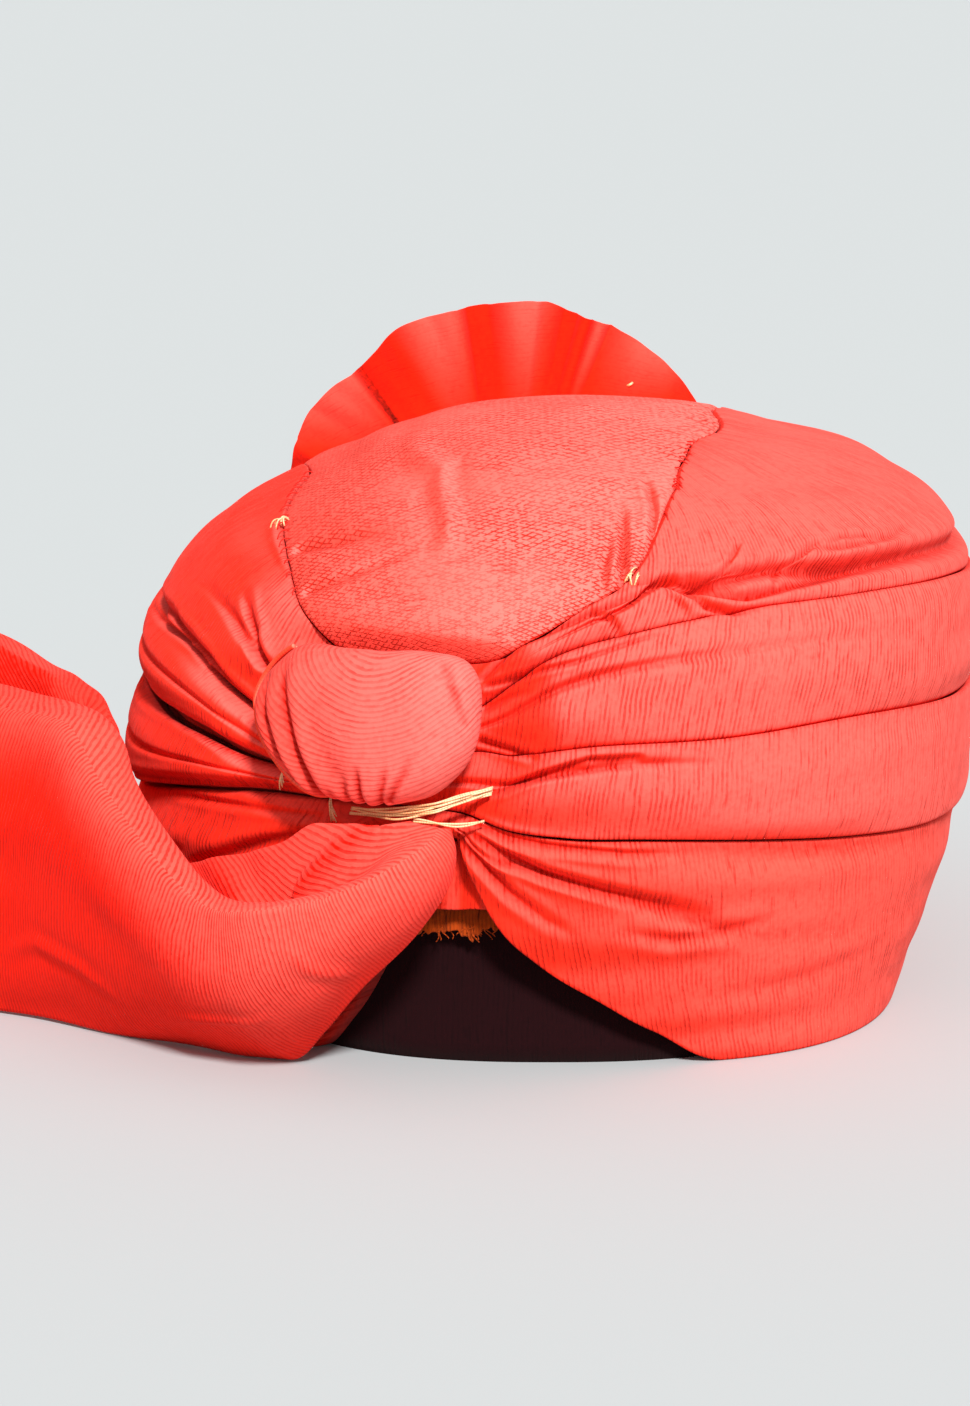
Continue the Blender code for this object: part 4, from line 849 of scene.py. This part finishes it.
tacking = []
for azimuth, climb, stitches, long in TACKS:
    for _ in range(stitches):
        aside, above = tack_draw.uniform(-0.8, 0.8), tack_draw.uniform(-0.006, 0.006)
        slant, size = tack_draw.uniform(0.2, 2.6), long * tack_draw.uniform(0.6, 1.1)
        tacking.append((stitch(azimuth + aside, climb + above, slant, size, 0.0016), 0.00022))
for azimuth, climb, lean in ((-35.3, 0.432, 0.2), (-28.5, 0.402, 0.9)):
    for _ in range(7):
        long, sway = tack_draw.uniform(0.004, 0.0068), lean + tack_draw.uniform(-0.5, 0.5)
        off = 0.0004 + 0.0016 * np.sin(2.6 * run) * tack_draw.uniform(0.6, 1.2)
        tacking.append((over_body(azimuth + sway * run, climb - long * run / CLIMB_LENGTH, off), 0.00018))
gold_tacks = lay_threads("gold_tacks", tacking, gold_thread, sides=6)
red_thread = cotton("red_thread", (0.80, 0.030, 0.020), (0.70, 0.016, 0.010), DEEP_RED, pitch=0.0006,
                    relief=0.0001)
seaming = []
for azimuth in [*np.arange(-88.0, -44.0, 3.1), *np.arange(10.0, 44.0, 3.3), 17.2, 17.8, 18.4, 19.0]:
    climb = float(round_flow(math.radians(azimuth), CROWN_CREASE, 1))
    seaming.append((stitch(azimuth + tack_draw.uniform(-0.5, 0.5), climb, tack_draw.uniform(0.9, 2.2),
                           tack_draw.uniform(0.0018, 0.0030), 0.0010), 0.00017))
seam_stitches = lay_threads("seam_stitches", seaming, red_thread, sides=6)

# Under cloth and lining fray
# The end of a lower red layer hangs in the top of the arch, and under it the raw edge of an
# orange-brown lining has frayed into loose threads.
UNDER = np.array([(-22.0, 0.262), (-17.5, 0.262), (-13.5, 0.260), (-9.6, 0.262), (-7.0, 0.262)])
UNDER_TOP, UNDER_DEPTH = 0.355, 0.66


def thick_cloth(made, thickness):
    """Gives an open sheet its wall on both sides."""
    wall = made.modifiers.new("cloth", "SOLIDIFY")
    wall.thickness = thickness
    wall.offset = 0.0
    wall.use_quality_normals = True


side, rise = np.meshgrid(np.linspace(0, 1, 60), np.linspace(0, 1, 34), indexing="ij")
azimuth = -20.5 + 12.0 * side
low = flow(azimuth, UNDER[:, 0], UNDER[:, 1])
climb = low + (UNDER_TOP - low) * rise
hang = 0.035 * np.sin(14 * side + 1.0) * (1 - 0.6 * rise) + 0.03 * np.sin(5 * side + 2.4)
points = wound(np.radians(azimuth), climb, UNDER_DEPTH + hang)
weave = np.stack([(azimuth + 20) * 0.002, climb * CLIMB_LENGTH], -1)
# Darker towards the top, under the wrap: painted shade
shade = 0.5 * smooth_step(rise, 0.35, 1.0)
under_cloth = lay_cloth("under_cloth", points, grid_quads(60, 34), weave, shade, flap_cotton, closed=False)
thick_cloth(under_cloth, 0.0012)
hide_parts("under_wrap")

FRAY_LOW, FRAY_TOP, FRAY_DEPTH = 0.222, 0.262, 0.26
ORANGE, ORANGE_DEEP = (0.40, 0.050, 0.004), (0.12, 0.012, 0.002)
orange_cotton = cotton("orange_cotton", ORANGE, ORANGE, ORANGE_DEEP, pitch=0.0011, ribs=0.7, streaks=0.8)
fray_draw = np.random.default_rng(3)
side, rise = np.meshgrid(np.linspace(0, 1, 110), np.linspace(0, 1, 16), indexing="ij")
azimuth = -20.0 + 13.4 * side
ragged = np.interp(side[:, 0], np.linspace(0, 1, 34), fray_draw.uniform(-0.004, 0.007, 34))
droop = 0.014 * np.exp(-((azimuth[:, 0] + 12.2) / 1.6) ** 2)
low = FRAY_LOW + 0.012 * side[:, 0] + ragged - droop
climb = low[:, None] + (FRAY_TOP - low[:, None]) * rise
points = wound(np.radians(azimuth), climb, FRAY_DEPTH + 0.05 * np.sin(19 * side) * (1 - rise))
weave = np.stack([(azimuth + 20) * 0.002, climb * CLIMB_LENGTH], -1)
# Darker towards the top, under the cloth above: painted shade
lining_fray = lay_cloth("lining_fray", points, grid_quads(110, 16), weave, 0.6 * rise, orange_cotton,
                        closed=False)
thick_cloth(lining_fray, 0.0008)
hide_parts("lining_edge")
hanging = []
for _ in range(26):
    start = fray_draw.uniform(-19.0, -7.0)
    base = FRAY_LOW + 0.012 * (start + 20) / 13.4
    long, sway = fray_draw.uniform(0.008, 0.026), fray_draw.uniform(-1.6, 1.6)
    run = np.linspace(0, 1, 14)
    azimuths = start + sway * run ** 1.6 + 0.25 * np.sin(6 * run + start)
    hanging.append((wound(np.radians(azimuths), base + 0.008 - long * run,
                          FRAY_DEPTH + 0.06 * run * fray_draw.uniform(-0.6, 1.0)), 0.00013))
lining_threads = lay_threads("lining_threads", hanging, orange_cotton, sides=5)

# Fan
# The stiffened inner end of the cloth, pleated and pinched behind the crown, so that its free edge
# spreads in a fan of broad folds.
FAN_RADIUS, FAN_PIVOT_X, FAN_PIVOT_Z = 0.0745, -0.010, 0.094
FAN_LEAN, FAN_FOLD, FAN_ROOT = 0.010, 0.0050, 0.93
FAN = np.array([
    # angle from upright, reach as a share of the radius, fold towards the back as a share, painted light,
    # painted shade
    (-67.0, 0.900, 0.0, 0.10, 0.25), (-60.0, 0.930, -0.8, 0.30, 0.05), (-52.0, 0.950, -0.5, 0.60, 0.0),
    (-45.0, 0.950, -1.0, 0.72, 0.0), (-40.2, 0.935, -1.0, 0.60, 0.0), (-39.0, 0.930, 0.4, 0.20, 1.0),
    (-37.6, 0.925, 1.0, 0.00, 1.0), (-36.4, 0.928, 0.9, 0.00, 0.34), (-32.0, 0.945, 0.3, 0.05, 0.16),
    (-27.0, 0.980, -0.4, 0.15, 0.0), (-22.5, 0.995, -0.9, 0.50, 0.0), (-18.0, 0.990, -0.6, 0.68, 0.0),
    (-13.5, 0.990, -0.9, 0.62, 0.0), (-11.2, 0.985, -0.6, 0.40, 0.1), (-9.8, 0.980, 0.7, 0.05, 0.50),
    (-7.0, 0.980, 1.0, 0.00, 0.42), (-4.0, 0.980, 0.8, 0.05, 0.22), (-1.5, 0.990, 0.0, 0.30, 0.0),
    (2.0, 1.000, -0.8, 0.62, 0.0), (6.0, 1.010, -1.0, 0.75, 0.0), (7.5, 1.010, -0.5, 0.55, 0.0),
    (10.5, 1.000, 0.1, 0.30, 0.1), (13.0, 0.985, 0.9, 0.08, 0.30), (16.0, 0.980, 0.8, 0.02, 0.46),
    (17.8, 0.980, -0.2, 0.12, 0.14), (19.5, 0.980, 0.3, 0.10, 0.32), (21.2, 0.985, -0.5, 0.62, 0.0),
    (23.5, 0.985, 0.3, 0.30, 0.08), (27.0, 0.985, -0.4, 0.45, 0.0), (34.0, 0.980, -0.9, 0.65, 0.0),
    (41.0, 0.970, -0.8, 0.45, 0.0), (46.0, 0.955, -0.4, 0.18, 0.12), (50.0, 0.940, 0.2, 0.05, 0.25)])
FAN_SIDES, FAN_ROWS = 320, 52
back_half = np.radians(np.arange(-210.0, -129.0, 1.5))
foot = wound(back_half, round_flow((back_half + math.pi) % (2 * math.pi) - math.pi, CROWN_CREASE, 1),
             np.full(len(back_half), FAN_ROOT))
foot_angle = np.degrees(np.arctan2(foot[:, 0] - FAN_PIVOT_X, foot[:, 2] - FAN_PIVOT_Z))
sorted_by = np.argsort(foot_angle)
angle = np.linspace(FAN[0, 0], FAN[-1, 0], FAN_SIDES)
roots = np.stack([np.interp(angle, foot_angle[sorted_by], foot[sorted_by, k]) for k in range(3)], -1)
reach = FAN_RADIUS * flow(angle, FAN[:, 0], FAN[:, 1])
pleat = flow(angle, FAN[:, 0], FAN[:, 2])
tips = np.stack([FAN_PIVOT_X + reach * np.sin(np.radians(angle)), roots[:, 1] + FAN_LEAN,
                 FAN_PIVOT_Z + reach * np.cos(np.radians(angle))], -1)
share = np.linspace(0, 1, FAN_ROWS)[:, None]
depth = FAN_FOLD * pleat * (0.14 + 0.86 * share)
depth = (depth + 0.0005 * np.sin(angle * 0.21 - 4 * share) * share
         + 0.0003 * np.sin(angle * 0.9 + 5 * share) * share)
points = roots + (tips - roots) * share[..., None] + depth[..., None] * np.array([0, 1.0, 0])
fan_reach = np.linalg.norm(tips - roots, axis=1)
weave = np.stack([np.broadcast_to(share * fan_reach, depth.shape),
                  np.broadcast_to(np.radians(angle) * FAN_RADIUS, depth.shape)], -1)
# Painted shade in the pleats' valleys, stronger towards the root, with a near-black deep colour; painted
# light on the panels, changing with the small ripples
shade = flow(angle, FAN[:, 0], FAN[:, 4]) * (1.15 - 0.55 * share)
fan_cotton = cotton("fan_cotton", (0.94, 0.112, 0.084), (0.93, 0.014, 0.002), (0.07, 0.003, 0.001),
                    ribs=0.10, streaks=0.20)
light_share = flow(angle, FAN[:, 0], FAN[:, 3]) * (0.35 + 0.65 * share)
light_share = light_share + 40.0 * (depth - FAN_FOLD * pleat * share)
fan_cloth = lay_cloth("fan_cloth", points, grid_quads(FAN_ROWS, FAN_SIDES)[:, ::-1], weave, shade,
                      fan_cotton, closed=False, light_given=light_share)
thick_cloth(fan_cloth, 0.0014)
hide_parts("fan")
speckles, on_fan = [], points.reshape(-1, 3)
bow = np.linspace(-1, 1, 9)[:, None]
for angle, reach in ((34.4, 0.775), (33.9, 0.835)):
    spot = np.array([FAN_PIVOT_X + FAN_RADIUS * reach * math.sin(math.radians(angle)), 0,
                     FAN_PIVOT_Z + FAN_RADIUS * reach * math.cos(math.radians(angle))])
    nearest = on_fan[np.argmin(np.linalg.norm((on_fan - spot)[:, [0, 2]], axis=1))]
    path = nearest + bow * [0.0007, 0, 0.0004] + (1 - bow ** 2) * [0, -0.0008, 0] + [0, -0.0006, 0]
    speckles.append((path, 0.0004))
fan_specks = lay_threads("fan_specks", speckles, gold_thread, sides=6)

# Tail
# The loose outer end of the cloth, a wide strip with its upper edge folded over to the inside. It
# leaves the tie, stands on its lower edge in front of the turban and turns back at the left.
TAIL = np.array([
    # hem x, y, z            rim x, y, z             back x, y, z            bulge  roll   tuck
    (-0.222, -1.016, 0.436, -0.240, -1.034, 0.438, -0.300, -1.012, 0.445, 0.004, 0.008, 0.000),
    (-0.210, -1.036, 0.396, -0.262, -1.074, 0.422, -0.352, -1.010, 0.440, 0.010, 0.015, 0.010),
    (-0.228, -1.050, 0.342, -0.318, -1.108, 0.397, -0.418, -0.985, 0.436, 0.015, 0.025, 0.030),
    (-0.289, -1.026, 0.272, -0.395, -1.120, 0.366, -0.496, -0.950, 0.432, 0.030, 0.030, 0.060),
    (-0.395, -0.968, 0.176, -0.490, -1.111, 0.334, -0.570, -0.912, 0.393, 0.045, 0.035, 0.090),
    (-0.488, -0.889, 0.072, -0.592, -1.087, 0.316, -0.649, -0.860, 0.366, 0.060, 0.040, 0.110),
    (-0.569, -0.815, 0.010, -0.689, -1.040, 0.302, -0.728, -0.800, 0.340, 0.070, 0.040, 0.100),
    (-0.691, -0.778, 0.008, -0.777, -0.984, 0.326, -0.808, -0.740, 0.305, 0.070, 0.045, 0.060),
    (-0.840, -0.698, 0.008, -0.878, -0.905, 0.392, -0.900, -0.760, 0.215, 0.070, 0.055, 0.020),
    (-1.002, -0.619, 0.008, -0.969, -0.825, 0.471, -1.000, -0.690, 0.225, 0.060, 0.065, 0.000),
    (-1.170, -0.524, 0.008, -1.063, -0.730, 0.558, -1.110, -0.600, 0.290, 0.050, 0.070, 0.000),
    (-1.310, -0.440, 0.008, -1.225, -0.620, 0.566, -1.255, -0.500, 0.300, 0.045, 0.070, 0.000),
    (-1.470, -0.300, 0.008, -1.430, -0.430, 0.585, -1.405, -0.330, 0.320, 0.040, 0.075, 0.000),
    (-1.590, -0.100, 0.008, -1.605, -0.150, 0.600, -1.510, -0.115, 0.345, 0.030, 0.080, 0.000),
    (-1.595, 0.080, 0.008, -1.620, 0.110, 0.602, -1.520, 0.060, 0.345, 0.030, 0.080, 0.000),
    (-1.490, 0.185, 0.008, -1.500, 0.215, 0.592, -1.450, 0.115, 0.340, 0.030, 0.080, 0.000),
    (-1.330, 0.185, 0.014, -1.330, 0.205, 0.554, -1.320, 0.090, 0.325, 0.030, 0.075, 0.000),
    (-1.205, 0.155, 0.050, -1.195, 0.170, 0.500, -1.195, 0.065, 0.300, 0.030, 0.065, 0.000),
    (-1.125, 0.120, 0.110, -1.120, 0.140, 0.478, -1.125, 0.050, 0.300, 0.025, 0.060, 0.000),
    (-1.066, 0.080, 0.185, -1.062, 0.100, 0.446, -1.070, 0.030, 0.305, 0.020, 0.050, 0.000),
    (-1.040, 0.052, 0.262, -1.036, 0.065, 0.408, -1.042, 0.015, 0.320, 0.015, 0.040, 0.000),
])
TAIL_FOLDS = [
    # width, then way along the tail, way up from its hem and depth, all in millimetres
    (1.5, [(8, 29, 0.8), (21, 45, 1.8), (38, 60, 2.4), (50, 60, 2.6)]),
    (3.5, [(50, 60, 2.5), (57, 75, 3.5), (63, 92, 3.0), (70, 104, 1.0)]),
    (5.0, [(8, 22, 0.0), (25, 37, -1.6), (40, 48, -1.2), (50, 52, 0.0)]),
    (7.0, [(160, 56, 0.5), (135, 60, 1.6), (112, 52, 1.8), (90, 44, 1.0), (74, 34, 0.0)]),
    (1.6, [(96, 14, 0.0), (84, 22, 0.6), (72, 26, 0.5), (60, 24, 0.0)]),
    (1.4, [(40, 6, 0.0), (44, 18, 0.6), (50, 30, 0.5), (54, 40, 0.0)]),
    (2.0, [(150, 20, 0.0), (132, 28, 0.8), (118, 26, 0.7), (104, 18, 0.0)]),
]
LIGHT_ACROSS = np.array([0.0, 0.25, 0.45, 0.60, 1.0])
TAIL_LIGHT = np.array([
    # row of the tail's table, painted light at the hem, low, mid, rim and back edge
    (0.0, 0.45, 0.55, 0.65, 0.75, 0.70), (2.0, 0.40, 0.60, 0.70, 0.85, 0.65),
    (4.0, 0.25, 0.60, 0.75, 0.85, 0.50), (5.5, 0.10, 0.52, 0.70, 0.80, 0.40),
    (6.5, 0.00, 0.28, 0.55, 0.72, 0.30), (7.5, 0.00, 0.04, 0.32, 0.65, 0.20),
    (8.5, 0.00, 0.00, 0.15, 0.60, 0.15), (9.5, 0.00, 0.00, 0.06, 0.60, 0.15),
    (10.5, 0.00, 0.00, 0.10, 0.55, 0.15), (12.0, 0.00, 0.10, 0.30, 0.50, 0.20),
    (15.0, 0.20, 0.35, 0.45, 0.50, 0.30), (17.0, 0.15, 0.30, 0.40, 0.60, 0.30),
    (18.5, 0.05, 0.15, 0.30, 0.50, 0.30), (20.0, 0.10, 0.25, 0.35, 0.50, 0.30)])
TAIL_STATIONS, TAIL_ACROSS = 340, 110
TAIL_CLOTH = 0.0016
body_size = np.array([HALF_WIDTH, HALF_LENGTH, CROWN_HEIGHT])
stations = np.linspace(0, 1, TAIL_STATIONS)
columns = np.stack(along_rows(TAIL, stations), -1)
hem, rim, back = (columns[:, 3 * k:3 * k + 3] * body_size for k in range(3))
heading = np.gradient(rim, axis=0)
outward = np.stack([-heading[:, 1], heading[:, 0], 0 * heading[:, 0]], -1)
outward /= np.linalg.norm(outward, axis=1, keepdims=True)
bulge, roll, tuck = (columns[:, k, None] * CROWN_HEIGHT for k in (9, 10, 11))
upright = np.array([0, 0, 1.0])
turned = rim - outward * roll + upright * roll * 0.1
valley = (turned + back) / 2 - upright * tuck
controls = np.stack([hem, hem + (rim - hem) * 0.30 + outward * bulge,
                     hem + (rim - hem) * 0.68 + outward * bulge * 0.9, rim, turned, valley, back], 1)
spots = np.array([0.0, 0.2, 0.42, 0.60, 0.68, 0.84, 1.0])
across = np.linspace(0, 1, TAIL_ACROSS)
strip = np.stack([[flow(across, spots, station[:, k]) for k in range(3)] for station in controls])
strip = strip.transpose(0, 2, 1)
slope = np.cross(np.gradient(strip, axis=0), np.gradient(strip, axis=1))
slope /= np.linalg.norm(slope, axis=2, keepdims=True)
length = np.cumsum(np.r_[0, np.linalg.norm(np.diff((hem + rim) / 2, axis=0), axis=1)])
breadth = np.cumsum(np.concatenate([np.zeros((TAIL_STATIONS, 1)),
                                    np.linalg.norm(np.diff(strip, axis=1), axis=2)], 1), 1)
x, y = np.broadcast_to(length[:, None], breadth.shape), breadth
ripple = (0.0005 * np.sin(x * 150 + 3 * np.sin(y * 60)) * np.sin(y * 70 + 1)
          + 0.0004 * np.sin(y * 210 - x * 40 + 1.3) * smooth_step(x, 0.05, 0.12))
ripple = ripple * smooth_step(x, 0.0, 0.03)
sunk, fold_shade = fold_depth(x, y, in_metres(TAIL_FOLDS, flat_spot))
strip = strip + slope * (ripple - sunk)[..., None]
strip[..., 2] = np.maximum(strip[..., 2], TAIL_CLOTH / 2 + 0.0002)
RIM = int(0.60 * TAIL_ACROSS)
past_rim = np.clip(y - breadth[:, RIM, None], 0, None)
headed = heading / np.linalg.norm(heading, axis=1, keepdims=True)
near_tie = 1 - smooth_step(stations, 0.22, 0.40)[:, None]
upright_x = x + near_tie * np.einsum("ijk,ik->ij", strip - ((hem + rim) / 2)[:, None], headed)
weave = np.stack([upright_x, y], -1)
# Painted shade in the tuck's valley and along the folds, and a painted shadow under the roll where the tail
# turns back
shade = 0.85 * smooth_step(tuck / CROWN_HEIGHT, 0.02, 0.09) * np.exp(-((across - 0.80) / 0.07) ** 2)
shade = np.maximum(shade, 0.7 * fold_shade)
under_roll = smooth_step(stations, 0.55, 0.66) * (1 - smooth_step(stations, 0.86, 0.92))
shade = np.maximum(shade, 0.85 * under_roll[:, None] * smooth_step(across, 0.66, 0.70))
# Painted light: how lit the tail looks at each row and across it
row = stations * (len(TAIL) - 1)
light_share = np.stack([flow(row, TAIL_LIGHT[:, 0], TAIL_LIGHT[:, k]) for k in range(1, 6)], -1)
light_share = np.stack([flow(across, LIGHT_ACROSS, fading) for fading in light_share])
tail_cotton = cotton("tail_cotton", (0.94, 0.115, 0.086), (0.94, 0.012, 0.002), (0.72, 0.006, 0.001),
                     pitch=0.00104, ribs=0.90, patchy=0.35, streaks=0.15, relief=0.00035)
quads = grid_quads(TAIL_STATIONS, TAIL_ACROSS)
tail_cloth = lay_cloth("tail_cloth", strip, quads, weave, shade, tail_cotton, closed=False, light_given=light_share)
# Behind the rim the ribs lean, so the back face has a way along of its own in its corners
in_corners = np.empty(2 * len(tail_cloth.data.loops))
tail_cloth.data.uv_layers["weave"].data.foreach_get("uv", in_corners)
in_corners = in_corners.reshape(TAIL_STATIONS - 1, TAIL_ACROSS - 1, 4, 2)
slanted = (0.58 * x - 0.42 * past_rim).ravel()[quads]
in_corners[:, RIM:, :, 0] = slanted.reshape(TAIL_STATIONS - 1, TAIL_ACROSS - 1, 4)[:, RIM:]
tail_cloth.data.uv_layers["weave"].data.foreach_set("uv", in_corners.ravel())
thick_cloth(tail_cloth, TAIL_CLOTH)
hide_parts("tail")

# Floor, light and camera
# A pale floor that runs far back, one broad lamp high in front and a little to the right, and even
# light all round. The camera stands low in front, a little to the left of the middle.
FLOOR_SIZE, FLOOR_GREY = 60.0, (0.445, 0.466, 0.468, 1)
LAMP_FROM, LAMP_POWER, LAMP_SPREAD, ROOM_LIGHT = np.array([0.14, -0.76, 0.64]), 5.2, 9.0, 0.60
floor_mesh = bpy.data.meshes.new("floor")
half = FLOOR_SIZE / 2
floor_mesh.from_pydata([(-half, -half, 0), (half, -half, 0), (half, half, 0), (-half, half, 0)], [],
                       [(0, 1, 2, 3)])
floor = bpy.data.objects.new("floor", floor_mesh)
bpy.context.scene.collection.objects.link(floor)
pale = bpy.data.materials.new("pale_floor")
pale.use_nodes = True
pale_shader = pale.node_tree.nodes["Principled BSDF"]
pale_shader.inputs["Base Color"].default_value = FLOOR_GREY
pale_shader.inputs["Roughness"].default_value = 0.9
pale_shader.inputs["Specular IOR Level"].default_value = 0.1
floor_mesh.materials.append(pale)
floor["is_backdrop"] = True

sun_data = bpy.data.lights.new("key", "SUN")
sun_data.energy = LAMP_POWER
sun_data.angle = math.radians(LAMP_SPREAD)
sun = bpy.data.objects.new("key", sun_data)
sun.rotation_euler = (math.acos(LAMP_FROM[2] / np.linalg.norm(LAMP_FROM)), 0,
                      math.atan2(LAMP_FROM[0], -LAMP_FROM[1]))
bpy.context.scene.collection.objects.link(sun)
world = bpy.data.worlds.new("room")
world.use_nodes = True
world.node_tree.nodes["Background"].inputs["Color"].default_value = (1, 1, 1, 1)
world.node_tree.nodes["Background"].inputs["Strength"].default_value = ROOM_LIGHT
bpy.context.scene.world = world
bpy.context.scene.view_settings.view_transform = "Standard"

FRAME_TALL, FOCAL_PIXELS, SENSOR_TALL = 1406, 4026, 36.0
CAMERA_AT, CAMERA_TILT = (-0.0164, -1.0619, 0.2947), 78.0
camera_data = bpy.data.cameras.new("camera")
camera_data.sensor_fit = "VERTICAL"
camera_data.sensor_height = SENSOR_TALL
camera_data.lens = FOCAL_PIXELS / FRAME_TALL * SENSOR_TALL
camera = bpy.data.objects.new("camera", camera_data)
camera.location = CAMERA_AT
camera.rotation_euler = (math.radians(CAMERA_TILT), 0, 0)
bpy.context.scene.collection.objects.link(camera)
bpy.context.scene.camera = camera

low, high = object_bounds()
